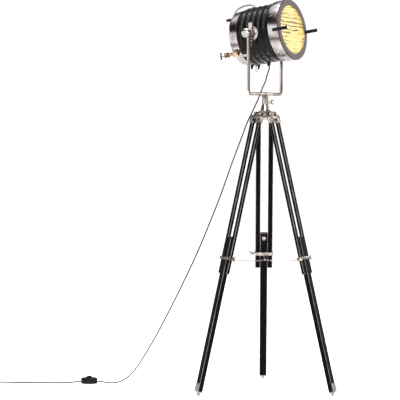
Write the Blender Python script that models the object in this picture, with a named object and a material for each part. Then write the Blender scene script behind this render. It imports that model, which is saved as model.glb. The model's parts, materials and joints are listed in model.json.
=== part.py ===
"""Tripod floor lamp: a ribbed studio-style head in a tube yoke on a folding three-leg stand.

Metres, +Z up. The floor is z = 0 and the lamp faces -Y. Every piece is its own named object.
Leg pieces are modelled in their leg's own frame (X outward, Y across, Z up along the leg) and head
pieces in the head's frame (-Y forward along the light's axis), each parented to an empty on its joint.
"""
import math

import bmesh
import bpy
from mathutils import Matrix, Vector

GAP = 0.0003                                   # clearance between pieces that touch

# Stand
TRIPOD_Y = 0.07704                             # the post stands behind the centre of the box
LEG_AZIMUTHS = (270.0, 30.0, 150.0)            # degrees from +X
HINGE_R, HINGE_Z = 0.0363, 1.164
LEG_TILT = math.radians(13.86)                 # from the vertical
RAIL_W, RAIL_D = 0.021, 0.013                  # one rail's width and depth
LOWER_D = 0.0212                               # depth of the lower leg, thicker than the rails
BAND_IN = LOWER_D / 2 + 0.0004                 # inside of the clamp band, front and back
RAIL_GAP = 0.032                               # between a leg's two rails
RAIL_TOP, RAIL_END = 0.0248, 0.6839            # distances down the leg from its hinge
LOWER_TOP, LOWER_END = 0.5263, 1.1815
CLAMP_AT, CLAMP_H = 0.6185, 0.014
STOP_AT = 0.549
POST_R, POST_TOP = 0.0135, 1.2385
BORE_R, BORE_BOTTOM = 0.0085, 1.205
PAN_SCREW_Z, PAN_SCREW_AZIMUTH = 1.2126, -61.4
RING_Z = 0.549                                 # where the three stay chains meet

# Yoke
PIVOT_Z = 1.494
ARM_X = 0.143
BAR_Z = 1.246
YOKE_R, YOKE_CORNER = 0.007, 0.0175

# Head, measured forward (F) and back from the tilt pivot along the light's axis
HEAD_TILT = math.radians(8.0)
RIM_R, OPENING_R = 0.127, 0.102
RIM_F, RING_BACK_F = 0.131, 0.081
SHELL_R, RIB_R, SHELL_WALL = 0.1165, 0.1205, 0.0025
CAP_FRONT_F, CAP_BACK_F = -0.071, -0.115
RIB_COUNT, RIB_PITCH = 5, 0.026
LUG_TURN, LUG_R = math.radians(34), 0.1225     # the T screw's lug on the rear cap, below level on the -X side
HEAD_SIDES, SMALL_SIDES = 36, 12               # faces round a large and a small turned piece

# Cord
CORD_R = 0.00275
COIL_TURN_R = 0.0335                           # middle of the wound turns
SWITCH_AT = (-0.237, 0.734)                    # from the post
TAIL_AZIMUTH = 118.6


def material(name, colour, roughness, metallic=0.0):
    """A Principled material made once and shared by name."""
    found = bpy.data.materials.get(name)
    if found:
        return found
    made = bpy.data.materials.new(name)
    made.use_nodes = True
    shader = made.node_tree.nodes["Principled BSDF"]
    shader.inputs["Base Color"].default_value = (*colour, 1.0)
    shader.inputs["Roughness"].default_value = roughness
    shader.inputs["Metallic"].default_value = metallic
    return made


def black_wood():
    return material("black_lacquered_wood", (0.012, 0.010, 0.009), 0.35)


def nickel():
    return material("warm_nickel", (0.72, 0.64, 0.58), 0.22, 1.0)


def chrome():
    return material("chrome", (0.78, 0.76, 0.76), 0.10, 1.0)


def black_enamel():
    return material("black_enamel", (0.008, 0.008, 0.009), 0.18)


def black_plastic():
    return material("black_plastic", (0.018, 0.018, 0.020), 0.45)


def empty(name, location, rotation=(0.0, 0.0, 0.0), parent=None):
    """A guide that carries the pieces of one joint."""
    guide = bpy.data.objects.new(name, None)
    bpy.context.collection.objects.link(guide)
    guide.location, guide.rotation_euler, guide.parent = location, rotation, parent
    return guide


def add(name, bm, finish, parent, location=(0.0, 0.0, 0.0), rotation=(0.0, 0.0, 0.0)):
    """Turn a bmesh into a named object with its faces out and round faces smooth."""
    bmesh.ops.remove_doubles(bm, verts=bm.verts, dist=1e-6)
    bmesh.ops.recalc_face_normals(bm, faces=bm.faces)
    mesh = bpy.data.meshes.new(name)
    bm.to_mesh(mesh)
    bm.free()
    mesh.shade_smooth()
    mesh.set_sharp_from_angle(angle=math.radians(35))
    if finish:
        mesh.materials.append(finish)
    piece = bpy.data.objects.new(name, mesh)
    bpy.context.collection.objects.link(piece)
    piece.parent, piece.location, piece.rotation_euler = parent, location, rotation
    return piece


def combine(target, bm, operation="UNION", location=(0.0, 0.0, 0.0), rotation=(0.0, 0.0, 0.0)):
    """Union a second shape with a piece, or cut it away, in that piece's own frame."""
    name = f"{target.name}_{operation.lower()}_{len(target.modifiers)}"
    tool = add(name, bm, None, target, location, rotation)
    tool.hide_render = True
    tool.display_type = "WIRE"
    step = target.modifiers.new(name, "BOOLEAN")
    step.operation = operation
    step.solver = "EXACT"
    step.object = tool
    return tool


def box(low, high):
    """A plain block between two corners."""
    bm = bmesh.new()
    size = Vector(high) - Vector(low)
    middle = (Vector(high) + Vector(low)) / 2
    bmesh.ops.create_cube(bm, size=1.0, matrix=Matrix.Translation(middle) @ Matrix.Diagonal((*size, 1.0)))
    return bm


def turned(outline, sides=24, axis="Z"):
    """Turn (radius, height) points about an axis; a closed hollow if no point lies on the axis."""
    bm = bmesh.new()
    rings = []
    for radius, height in outline:
        if radius < 1e-7:
            rings.append([bm.verts.new((0.0, 0.0, height))])
            continue
        ring = []
        for k in range(sides):
            turn = 2 * math.pi * k / sides
            ring.append(bm.verts.new((radius * math.cos(turn), radius * math.sin(turn), height)))
        rings.append(ring)
    pairs = list(zip(rings, rings[1:]))
    if len(rings[0]) > 1 and len(rings[-1]) > 1:
        pairs.append((rings[-1], rings[0]))
    for upper, lower in pairs:
        for k in range(sides):
            following = (k + 1) % sides
            corners = [upper[k % len(upper)], upper[following % len(upper)],
                       lower[following % len(lower)], lower[k % len(lower)]]
            face = list(dict.fromkeys(corners))
            if len(face) > 2:
                bm.faces.new(face)
    aim = {"X": Matrix.Rotation(math.radians(90), 4, "Y"), "-X": Matrix.Rotation(math.radians(-90), 4, "Y"),
           "Y": Matrix.Rotation(math.radians(-90), 4, "X"), "-Y": Matrix.Rotation(math.radians(90), 4, "X"),
           "Z": Matrix.Identity(4), "-Z": Matrix.Rotation(math.radians(180), 4, "X")}[axis]
    bmesh.ops.transform(bm, matrix=aim, verts=bm.verts)
    return bm


def cylinder(radius, low, high, sides=16, axis="Z"):
    return turned([(0.0, high), (radius, high), (radius, low), (0.0, low)], sides, axis)


def plate(outline, low, high, across="Y"):
    """Extrude a closed outline between two levels; its points are the two other coordinates in order."""
    bm = bmesh.new()
    place = {"X": lambda a, b, c: (c, a, b), "Y": lambda a, b, c: (a, c, b),
             "Z": lambda a, b, c: (a, b, c)}[across]
    face = bm.faces.new([bm.verts.new(place(a, b, low)) for a, b in outline])
    grown = bmesh.ops.extrude_face_region(bm, geom=[face])
    shift = Vector(place(0.0, 0.0, high - low))
    bmesh.ops.translate(bm, vec=shift, verts=[v for v in grown["geom"] if isinstance(v, bmesh.types.BMVert)])
    return bm


def arc(centre, radius, start, end, steps):
    """Points on a circle from one angle to another, in degrees."""
    turns = [math.radians(start + (end - start) * k / steps) for k in range(steps + 1)]
    return [(centre[0] + radius * math.cos(t), centre[1] + radius * math.sin(t)) for t in turns]


def swept(points, radius, sides=12):
    """A round tube along a path, with flat ends."""
    bm = bmesh.new()
    path = [Vector(p) for p in points]
    side = None
    rings = []
    for k, point in enumerate(path):
        ahead = (path[min(k + 1, len(path) - 1)] - path[max(k - 1, 0)]).normalized()
        if side is None:
            side = ahead.orthogonal().normalized()
        side = (side - ahead * side.dot(ahead)).normalized()
        other = ahead.cross(side)
        turns = [2 * math.pi * n / sides for n in range(sides)]
        rings.append([bm.verts.new(point + (side * math.cos(t) + other * math.sin(t)) * radius) for t in turns])
    for first, second in zip(rings, rings[1:]):
        for n in range(sides):
            bm.faces.new((first[n], first[(n + 1) % sides], second[(n + 1) % sides], second[n]))
    bm.faces.new(rings[0])
    bm.faces.new(rings[-1])
    return bm


def smooth_route(points, count, end_step=0.004):
    """Evenly spaced points on a smooth curve through the given ones, with a short first and last step."""
    guide = [Vector(p) for p in points]
    guide = [guide[0] * 2 - guide[1]] + guide + [guide[-1] * 2 - guide[-2]]
    fine = []
    for a, b, c, d in zip(guide, guide[1:], guide[2:], guide[3:]):
        for step in range(24):
            t = step / 24
            fine.append(0.5 * ((2 * b) + (c - a) * t + (2 * a - 5 * b + 4 * c - d) * t * t
                               + (3 * b - a - 3 * c + d) * t ** 3))
    fine.append(guide[-2])
    far = [0.0]
    for first, second in zip(fine, fine[1:]):
        far.append(far[-1] + (second - first).length)
    wanted = [far[-1] * n / (count - 3) for n in range(count - 2)]
    wanted = [0.0, end_step] + wanted[1:-1] + [far[-1] - end_step, far[-1]]
    out = []
    k = 0
    for want in wanted:
        while k < len(far) - 2 and far[k + 1] < want:
            k += 1
        share = (want - far[k]) / max(far[k + 1] - far[k], 1e-9)
        out.append(fine[k].lerp(fine[k + 1], min(share, 1.0)))
    return out


def cord(name, route, count):
    """A round cord: a curve with a round section and closed ends."""
    curve = bpy.data.curves.new(name, "CURVE")
    curve.dimensions = "3D"
    line = curve.splines.new("POLY")
    points = smooth_route(route, count)
    line.points.add(count - 1)
    for target, point in zip(line.points, points):
        target.co = (*point, 1.0)
    curve.bevel_depth = CORD_R
    curve.bevel_resolution = 2
    curve.render_resolution_u = 0
    curve.use_fill_caps = True
    curve.materials.append(black_plastic())
    piece = bpy.data.objects.new(name, curve)
    bpy.context.collection.objects.link(piece)
    return piece


def wings(span, height, thickness, base):
    """Two rounded ears standing up from a hub, in the X-Z plane; base is where they leave the hub."""
    half = thickness / 2
    outline = [(-0.35 * span, base), (0.35 * span, base)]
    outline += arc((0.72 * span, base + height - 0.28 * span), 0.28 * span, -35, 125, 5)
    outline += [(0.0, base + 0.35 * height)]
    outline += arc((-0.72 * span, base + height - 0.28 * span), 0.28 * span, 55, 215, 5)
    return plate(outline, -half, half, "Y")


# ---------------------------------------------------------------- stand

def build_tripod_head(stand):
    """Socket, cone and hinge plate cast in one, with a tongue for each leg."""
    outline = [(0.0, BORE_BOTTOM), (BORE_R, BORE_BOTTOM), (BORE_R, POST_TOP), (POST_R - 0.001, POST_TOP),
               (POST_R, POST_TOP - 0.001), (POST_R, 1.2005), (0.0155, 1.1985), (0.0195, 1.1765),
               (0.0262, 1.1745), (0.0262, 1.1565), (0.0245, 1.1550), (0.0, 1.1550)]
    head = add("tripod_head", turned(outline, 24), nickel(), stand)
    for azimuth in LEG_AZIMUTHS:
        turn = math.radians(azimuth)
        tongue = [(0.012, -0.0082), (HINGE_R, -0.0082)] + arc((HINGE_R, 0.0), 0.0082, -60, 90, 5)
        tongue += [(0.012, 0.0082)]
        combine(head, plate(tongue, -0.008, 0.008, "Y"), "UNION", (0, 0, HINGE_Z), (0, 0, turn))
    for azimuth in LEG_AZIMUTHS:
        turn = math.radians(azimuth)
        combine(head, cylinder(0.0034, -0.012, 0.012, 12, "Y"), "DIFFERENCE",
                (HINGE_R * math.cos(turn), HINGE_R * math.sin(turn), HINGE_Z), (0, 0, turn))
    combine(head, cylinder(0.0032, 0.004, 0.020, 12, "X"), "DIFFERENCE",
            (0, 0, PAN_SCREW_Z), (0, 0, math.radians(PAN_SCREW_AZIMUTH)))


def thumb_screw(name, parent, location, rotation, reach, span, twist=0.0, shaft_r=0.0029):
    """A wing screw along its own +Z: shaft below the seat, hub and two ears above it; twist turns the ears."""
    outline = [(0.0, 0.016), (0.0045, 0.016), (0.0062, 0.010), (0.0062, 0.001), (shaft_r, 0.001),
               (shaft_r, -reach), (0.0, -reach)]
    screw = add(name, turned(outline, SMALL_SIDES), nickel(), parent, location, rotation)
    combine(screw, wings(span, 0.019, 0.0032, 0.004), "UNION", (0.0, 0.0, 0.0), (0.0, 0.0, twist))
    return screw


def build_leg(index, azimuth, stand):
    """Upper leg: hinge fitting, two rails and the clamp band; the lower leg slides between the rails."""
    turn = math.radians(azimuth)
    hinge_at = (HINGE_R * math.cos(turn), HINGE_R * math.sin(turn), HINGE_Z)
    hinge = empty(f"leg_{index}_hinge", hinge_at, (0.0, -LEG_TILT, turn), stand)
    inner, outer = RAIL_GAP / 2, RAIL_GAP / 2 + RAIL_W
    half = RAIL_D / 2

    bolt = [(0.0, 0.0226), (0.004, 0.0222), (0.0062, 0.0206), (0.0062, 0.0186), (0.003, 0.0186),
            (0.003, -0.0186), (0.0062, -0.0186), (0.0062, -0.0206), (0.004, -0.0222), (0.0, -0.0226)]
    add(f"hinge_bolt_{index}", turned(bolt, SMALL_SIDES, "Y"), chrome(), stand, hinge_at, (0.0, 0.0, turn))

    edge_y, ear_y, shoulder_r = outer + 0.0018, 0.0176, 0.009
    shoulders = [(-edge_y, -0.0400), (edge_y, -0.0400)]
    shoulders += arc((edge_y - shoulder_r, -0.0068 - shoulder_r), shoulder_r, 0, 90, 4)
    shoulders += [(ear_y, -0.0068), (ear_y, -0.0105), (-ear_y, -0.0105), (-ear_y, -0.0068)]
    shoulders += arc((shoulder_r - edge_y, -0.0068 - shoulder_r), shoulder_r, 90, 180, 4)
    fitting = add(f"top_fitting_{index}", plate(shoulders, -0.0098, 0.0098, "X"), nickel(), hinge)
    middle_gap = box((-0.02, -inner + 0.0014, -0.050), (0.02, inner - 0.0014, -0.0235))
    combine(fitting, middle_gap, "DIFFERENCE")
    for side in (-1, 1):
        ear = [(-0.0085, -0.013)] + [(0.0085, -0.013)] + arc((0.0, 0.0), 0.0092, 0, 180, 8)
        near, far = sorted((side * 0.0086, side * 0.0182))
        combine(fitting, plate(ear, near, far, "Y"))
        combine(fitting, box((-half - GAP, min(side * (inner - GAP), side * (outer + GAP)), -0.05),
                             (half + GAP, max(side * (inner - GAP), side * (outer + GAP)), -RAIL_TOP + GAP)),
                "DIFFERENCE")
    combine(fitting, cylinder(0.0034, -0.025, 0.025, 12, "Y"), "DIFFERENCE")
    soften = fitting.modifiers.new("edges", "BEVEL")
    soften.width, soften.segments, soften.limit_method = 0.0008, 1, "ANGLE"
    soften.angle_limit = math.radians(60)

    for label, side in (("left", -1), ("right", 1)):
        low, high = sorted((side * inner, side * outer))
        rail = add(f"rail_{label}_{index}", box((-half, low, -RAIL_END), (half, high, -RAIL_TOP)),
                   black_wood(), hinge)
        edge = rail.modifiers.new("edges", "BEVEL")
        edge.width, edge.segments = 0.0022, 1

    clear = 0.0003
    wall = 0.0021
    band = add(f"clamp_band_{index}",
               box((-BAND_IN - wall, -outer - wall, -CLAMP_AT - CLAMP_H / 2),
                   (BAND_IN + wall, outer + wall, -CLAMP_AT + CLAMP_H / 2)),
               nickel(), hinge)
    combine(band, cylinder(0.0065, outer + 0.001, outer + 0.0068, 14, "Y"), "UNION", (0, 0, -CLAMP_AT))
    eye = [(-BAND_IN - 0.001, -0.0035)] + [(-BAND_IN - 0.001, 0.0035)]
    eye += arc((-BAND_IN - 0.0065, 0.0), 0.0035, 90, 270, 6)
    combine(band, plate(eye, -0.0012, 0.0012, "Y"), "UNION", (0, 0, -CLAMP_AT))
    combine(band, box((-BAND_IN - clear, -outer - clear, -0.02), (BAND_IN + clear, outer + clear, 0.02)),
            "DIFFERENCE", (0, 0, -CLAMP_AT))
    combine(band, cylinder(0.0032, outer - 0.002, outer + 0.010, 12, "Y"), "DIFFERENCE", (0, 0, -CLAMP_AT))
    combine(band, cylinder(0.0016, -0.004, 0.004, 8, "Y"), "DIFFERENCE", (-BAND_IN - 0.0066, 0, -CLAMP_AT))

    thumb_screw(f"clamp_screw_{index}", hinge, (0.0, outer + 0.0072, -CLAMP_AT),
                (math.radians(-90), 0.0, 0.0), 0.0068, 0.011, math.radians(90))

    slide = empty(f"leg_{index}_slide", (0.0, 0.0, 0.0), parent=hinge)
    reach = RAIL_GAP / 2 - 0.0004
    depth = LOWER_D / 2
    lower = add(f"lower_leg_{index}", box((-depth, -reach, -LOWER_END), (depth, reach, -LOWER_TOP)),
                black_wood(), slide)
    edge = lower.modifiers.new("edges", "BEVEL")
    edge.width, edge.segments = 0.002, 1
    combine(lower, cylinder(0.0025, -0.012, 0.002, 12, "-X"), "DIFFERENCE", (-depth, 0, -STOP_AT))
    head = [(0.0, 0.0046), (0.004, 0.0042), (0.0074, 0.0026), (0.0085, 0.0007), (0.0085, GAP), (0.0022, GAP),
            (0.0022, -0.010), (0.0, -0.010)]
    add(f"stop_screw_{index}", turned(head, SMALL_SIDES, "-X"), chrome(), slide, (-depth, 0.0, -STOP_AT))
    build_foot(index, slide, depth)


def build_foot(index, slide, depth):
    """Steel end plate up the leg's outer face and under its end, with a rounded ground stud."""
    under, skin, height = 0.004, 0.0024, 0.034
    width = 0.0145
    outline = [(-depth + 0.001, -LOWER_END - GAP), (-depth + 0.001, -LOWER_END - GAP - under),
               (depth + GAP + skin, -LOWER_END - GAP - under), (depth + GAP + skin, -LOWER_END + height),
               (depth + GAP, -LOWER_END + height), (depth + GAP, -LOWER_END - GAP)]
    steel = material("zinc_steel", (0.30, 0.29, 0.27), 0.45, 1.0)
    foot = add(f"foot_{index}", plate(outline, -width, width, "Y"), steel, slide)
    # The stud stands upright in the world, so its flat end meets the floor.
    plate_low = LOWER_END + GAP + under / 2
    drop = HINGE_Z - plate_low * math.cos(LEG_TILT)
    stud = [(0.0, drop), (0.0065, drop), (0.0065, 0.0055), (0.0058, 0.0025), (0.0042, 0.0), (0.0, 0.0)]
    upright = Matrix.Rotation(LEG_TILT, 4, "Y").to_euler()
    middle = Matrix.Translation((0.0, 0.0, -plate_low)) @ Matrix.Rotation(LEG_TILT, 4, "Y") \
        @ Matrix.Translation((0.0, 0.0, -drop))
    combine(foot, turned(stud, SMALL_SIDES), "UNION", middle.to_translation(), upright)


def build_chains(stand):
    """Three stay chains from the clamp bands' eyes to a ring on the tripod's axis."""
    hub_r, link_r = 0.0085, 0.0013
    ring = [(hub_r + link_r * math.cos(math.radians(a)), link_r * math.sin(math.radians(a)))
            for a in range(0, 360, 72)]
    add("chain_ring", turned(ring, 16), chrome(), stand, (0.0, 0.0, RING_Z))
    drop = CLAMP_AT * math.cos(LEG_TILT)
    eye_z = HINGE_Z - drop
    eye_r = HINGE_R + CLAMP_AT * math.sin(LEG_TILT) - (BAND_IN + 0.0125) * math.cos(LEG_TILT)
    eye_z -= (BAND_IN + 0.0125) * math.sin(LEG_TILT)
    start_r = hub_r + link_r + GAP
    for index, azimuth in enumerate(LEG_AZIMUTHS):
        turn = math.radians(azimuth)
        points = []
        for k in range(9):
            share = k / 8
            reach = start_r + (eye_r - start_r) * share
            sag = 0.005 * 4 * share * (1 - share)
            points.append((reach * math.cos(turn), reach * math.sin(turn), RING_Z + (eye_z - RING_Z) * share - sag))
        add(f"chain_{index}", swept(points, link_r, 6), chrome(), stand)


# ---------------------------------------------------------------- yoke

def build_yoke(stand):
    """One bent tube with flattened eyes for the tilt studs, and the spindle that stands in the post."""
    corner = ARM_X - YOKE_CORNER
    path = [(-ARM_X, PIVOT_Z - 0.0118)]
    path += arc((-corner, BAR_Z + YOKE_CORNER), YOKE_CORNER, 180, 270, 6)
    path += arc((corner, BAR_Z + YOKE_CORNER), YOKE_CORNER, 270, 360, 6)
    path += [(ARM_X, PIVOT_Z - 0.0118)]
    yoke = add("yoke", swept([(x, 0.0, z) for x, z in path], YOKE_R, 12), nickel(), stand)
    combine(yoke, cylinder(0.0081, BORE_BOTTOM + 0.0015, BAR_Z, 16))
    for side in (-1, 1):
        low, high = sorted((side * (ARM_X - 0.0042), side * (ARM_X + 0.0042)))
        combine(yoke, cylinder(0.0135, low, high, 16, "X"), "UNION", (0, 0, PIVOT_Z))
        combine(yoke, cylinder(0.0044, low - 0.01, high + 0.01, SMALL_SIDES, "X"), "DIFFERENCE", (0, 0, PIVOT_Z))


def build_tilt_hardware(head, pivot):
    """On each side: a boss with a stud on the housing, a wing nut inside the arm and a knob outside it."""
    for label, side in (("left", -1), ("right", 1)):
        axis = "X" if side > 0 else "-X"
        outline = [(0.0, 0.169), (0.0034, 0.169), (0.004, 0.168), (0.004, 0.1225), (0.0285, 0.1225), (0.030, 0.121),
                   (0.030, 0.108), (0.0, 0.108)]
        boss = add(f"tilt_boss_{label}", turned(outline, 24, axis), chrome(), head)
        combine(boss, cylinder(RIB_R + 2 * GAP, -0.05, 0.05, 48, "Y"), "DIFFERENCE")

        hub = [(0.0044, 0.1232), (0.0115, 0.1232), (0.0115, 0.1330), (0.0090, 0.1375), (0.0044, 0.1375)]
        nut = add(f"wing_nut_{label}", turned(hub, SMALL_SIDES, axis), nickel(), pivot)
        ear = [(-0.0085, 0.006)] + [(-0.0065, 0.022)] + arc((0.0, 0.0385), 0.0095, 200, -20, 6)
        ear += [(0.0065, 0.022), (0.0085, 0.006)]
        low, high = sorted((side * 0.1262, side * 0.1298))
        combine(nut, plate(ear, low, high, "X"))
        tab = [(-0.0085, -0.006)] + [(-0.0085, -0.046)] + arc((0.0, -0.0475), 0.0090, 190, 350, 6)
        tab += [(0.0085, -0.046), (0.0085, -0.006)]
        combine(nut, plate(tab, low, high, "X"))
        slot = arc((0.0, -0.0475), 0.0042, 180, 360, 4) + arc((0.0, -0.033), 0.0036, 0, 180, 4)
        combine(nut, plate(slot, low - 0.01, high + 0.01, "X"), "DIFFERENCE")
        combine(nut, cylinder(0.0044, 0.11, 0.15, SMALL_SIDES, axis), "DIFFERENCE")

        knob = [(0.0, 0.1800), (0.0065, 0.1797), (0.0125, 0.1780), (0.0170, 0.1740), (0.0190, 0.1680),
                (0.0190, 0.1580), (0.0165, 0.1540), (0.0110, 0.1520), (0.0100, 0.1482), (0.0044, 0.1482),
                (0.0044, 0.1700), (0.0, 0.1700)]
        add(f"tilt_knob_{label}", turned(knob, 16, axis), chrome(), pivot)


# ---------------------------------------------------------------- head

def build_housing(head):
    """Ribbed black shell, open at both ends, with a hole for the cord gland."""
    front, back = RING_BACK_F - 0.0005, CAP_FRONT_F + 0.0005
    outline = [(SHELL_R - SHELL_WALL, front), (SHELL_R, front)]
    for n in range(RIB_COUNT):
        crest = 0.054 - n * RIB_PITCH
        outline += [(SHELL_R, crest + 0.0065), (RIB_R, crest + 0.0030), (RIB_R, crest - 0.0030),
                    (SHELL_R, crest - 0.0065)]
    outline += [(SHELL_R, back), (SHELL_R - SHELL_WALL, back)]
    shell = add("lamp_housing", turned(outline, HEAD_SIDES, "-Y"), black_enamel(), head)
    combine(shell, cylinder(0.0063, 0.100, 0.130, 12, "-Z"), "DIFFERENCE")


def build_front(head):
    """Chrome band with its flat brown-grey rim, the lit lens behind it, and the reflector."""
    wall = 0.0025
    ring = [(RIM_R, RIM_F - 0.002), (RIM_R, RING_BACK_F), (0.1120, RING_BACK_F), (0.1120, RING_BACK_F + 0.003),
            (RIM_R - wall, RING_BACK_F + 0.003), (RIM_R - wall, RIM_F - 0.004), (OPENING_R, RIM_F - 0.004),
            (OPENING_R, RIM_F), (RIM_R - 0.002, RIM_F)]
    add("front_ring", turned(ring, HEAD_SIDES, "-Y"), chrome(), head)
    glass = material("lit_amber_glass", (1.0, 0.80, 0.30), 0.25)
    glass.node_tree.nodes["Principled BSDF"].inputs["Emission Color"].default_value = (1.0, 0.72, 0.22, 1.0)
    glass.node_tree.nodes["Principled BSDF"].inputs["Emission Strength"].default_value = 1.0
    back, front = RIM_F - 0.0083, RIM_F - 0.0043
    lens = [(0.0, front), (0.1220, front), (0.1220, back), (0.0, back)]
    add("lens_glass", turned(lens, HEAD_SIDES, "-Y"), glass, head)

    # A paraboloid bowl with its small end round the lamp holder.
    four_focal, wall, steps = 0.0868, 0.0015, 4
    low_f, high_f = -0.050, 0.0775
    tip = low_f - 0.0235 ** 2 / four_focal
    levels = [low_f + (high_f - low_f) * k / steps for k in range(steps + 1)]
    inner = [(math.sqrt(four_focal * (f - tip)), f) for f in levels]
    outer = [(r + wall, f - wall * 0.3) for r, f in reversed(inner)]
    polished = material("polished_reflector", (0.9, 0.88, 0.85), 0.12, 1.0)
    add("reflector", turned(inner + outer, 24, "-Y"), polished, head)

    for label, side in (("left", -1), ("right", 1)):
        rod = [(0.0, 0.180), (0.0062, 0.180), (0.0070, 0.1792), (0.0070, 0.1088), (0.0062, 0.108), (0.0, 0.108)]
        add(f"front_rod_{label}", turned(rod, SMALL_SIDES, "-Y"), black_plastic(), head, (side * 0.1343, 0.0, -0.004))


def build_lamp(head):
    """Lamp holder on the rear cap, and the bulb in it."""
    porcelain = material("lamp_holder_plastic", (0.03, 0.03, 0.03), 0.4)
    holder = [(0.0, -0.068), (0.0138, -0.068), (0.0138, -0.047), (0.0190, -0.047), (0.0195, -0.060),
              (0.0195, -0.098), (0.0240, -0.104), (0.0240, CAP_BACK_F + 0.0030), (0.0, CAP_BACK_F + 0.0030)]
    add("lamp_holder", turned(holder, SMALL_SIDES, "-Y"), porcelain, head)
    globe_f, globe_r = 0.024, 0.030
    bulb = [(0.0, -0.0672), (0.0100, -0.0672), (0.0133, -0.064), (0.0133, -0.042), (0.0150, -0.030), (0.0225, -0.008)]
    bulb += [(globe_r * math.cos(math.radians(a)), globe_f + globe_r * math.sin(math.radians(a)))
             for a in range(-30, 90, 20)]
    bulb += [(0.0, globe_f + globe_r)]
    glass = material("bulb_glass", (1.0, 0.93, 0.78), 0.3)
    add("bulb", turned(bulb, SMALL_SIDES, "-Y"), glass, head)


def build_rear(head):
    """Chrome rear cap with its screws, the carry handle and the cord gland."""
    front, back = CAP_FRONT_F, CAP_BACK_F
    cap = [(0.1155, front), (0.1135, back + 0.010), (0.1095, back + 0.0025), (0.1030, back), (0.0, back),
           (0.0, back + 0.0025), (0.1010, back + 0.0025), (0.1070, back + 0.0050), (0.1105, back + 0.011),
           (0.1125, front)]
    cap_bm = turned([cap[4]] + cap[3::-1] + cap[:4:-1], HEAD_SIDES, "-Y")
    rear = add("rear_cap", cap_bm, chrome(), head)

    knob_at = (-0.040, -CAP_BACK_F, 0.083)
    combine(rear, cylinder(0.0032, -0.006, 0.006, 12, "Y"), "DIFFERENCE", knob_at)
    screw_at = (-LUG_R * math.cos(LUG_TURN), 0.108, -LUG_R * math.sin(LUG_TURN))
    combine(rear, box((-0.1325, 0.080, -0.009), (-0.112, 0.108, 0.009)), "UNION", (0, 0, 0), (0, -LUG_TURN, 0))
    combine(rear, cylinder(0.0032, -0.035, 0.006, 12, "Y"), "DIFFERENCE", screw_at)
    knob = [(0.0, 0.038), (0.0050, 0.0375), (0.0064, 0.035), (0.0064, 0.018), (0.0050, 0.0155), (0.0030, 0.015),
            (0.0030, 0.004), (0.0060, 0.0035), (0.0060, GAP), (0.0028, GAP), (0.0028, -0.006), (0.0, -0.006)]
    add("rear_knob", turned(knob, SMALL_SIDES, "Y"), black_plastic(), head, knob_at)
    screw = [(0.0, 0.060), (0.0034, 0.060), (0.0034, 0.039), (0.0095, 0.038), (0.0105, 0.036), (0.0105, 0.020),
             (0.0095, 0.018), (0.0050, 0.0175), (0.0050, 0.0105), (0.0085, 0.0100), (0.0085, GAP), (0.0028, GAP),
             (0.0028, -0.026), (0.0, -0.026)]
    brass = material("brass", (0.62, 0.48, 0.27), 0.3, 1.0)
    t_screw = add("rear_t_screw", turned(screw, SMALL_SIDES, "Y"), brass, head, screw_at)
    combine(t_screw, cylinder(0.0038, -0.014, 0.014, 12, "Z"), "UNION", (0.0, 0.0570, 0.0))

    route = [(0.0365, 0.1211), (0.0365, 0.1270), (0.0420, 0.1325), (0.0630, 0.1355), (0.0900, 0.1340),
             (0.1150, 0.1260), (0.1330, 0.1110), (0.1390, 0.0950), (0.1340, 0.0800), (0.1240, 0.0720),
             (0.1155 + GAP, 0.0700)]
    points = smooth_route([(0.0, y, z) for y, z in route], 18)
    handle = add("carry_handle", swept(points, 0.0036, 8), chrome(), head)
    combine(handle, box((-0.009, 0.0285, RIB_R + GAP), (0.009, 0.0445, RIB_R + 0.004)))

    gland = [(0.0, 0.113), (0.0058, 0.113), (0.0058, 0.1209), (0.0078, 0.1209), (0.0080, 0.1235), (0.0072, 0.1275),
             (0.0045, 0.1335), (0.0, 0.1335)]
    add("cord_gland", turned(gland, SMALL_SIDES, "-Z"), black_plastic(), head)


# ---------------------------------------------------------------- cord and floor switch

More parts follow.
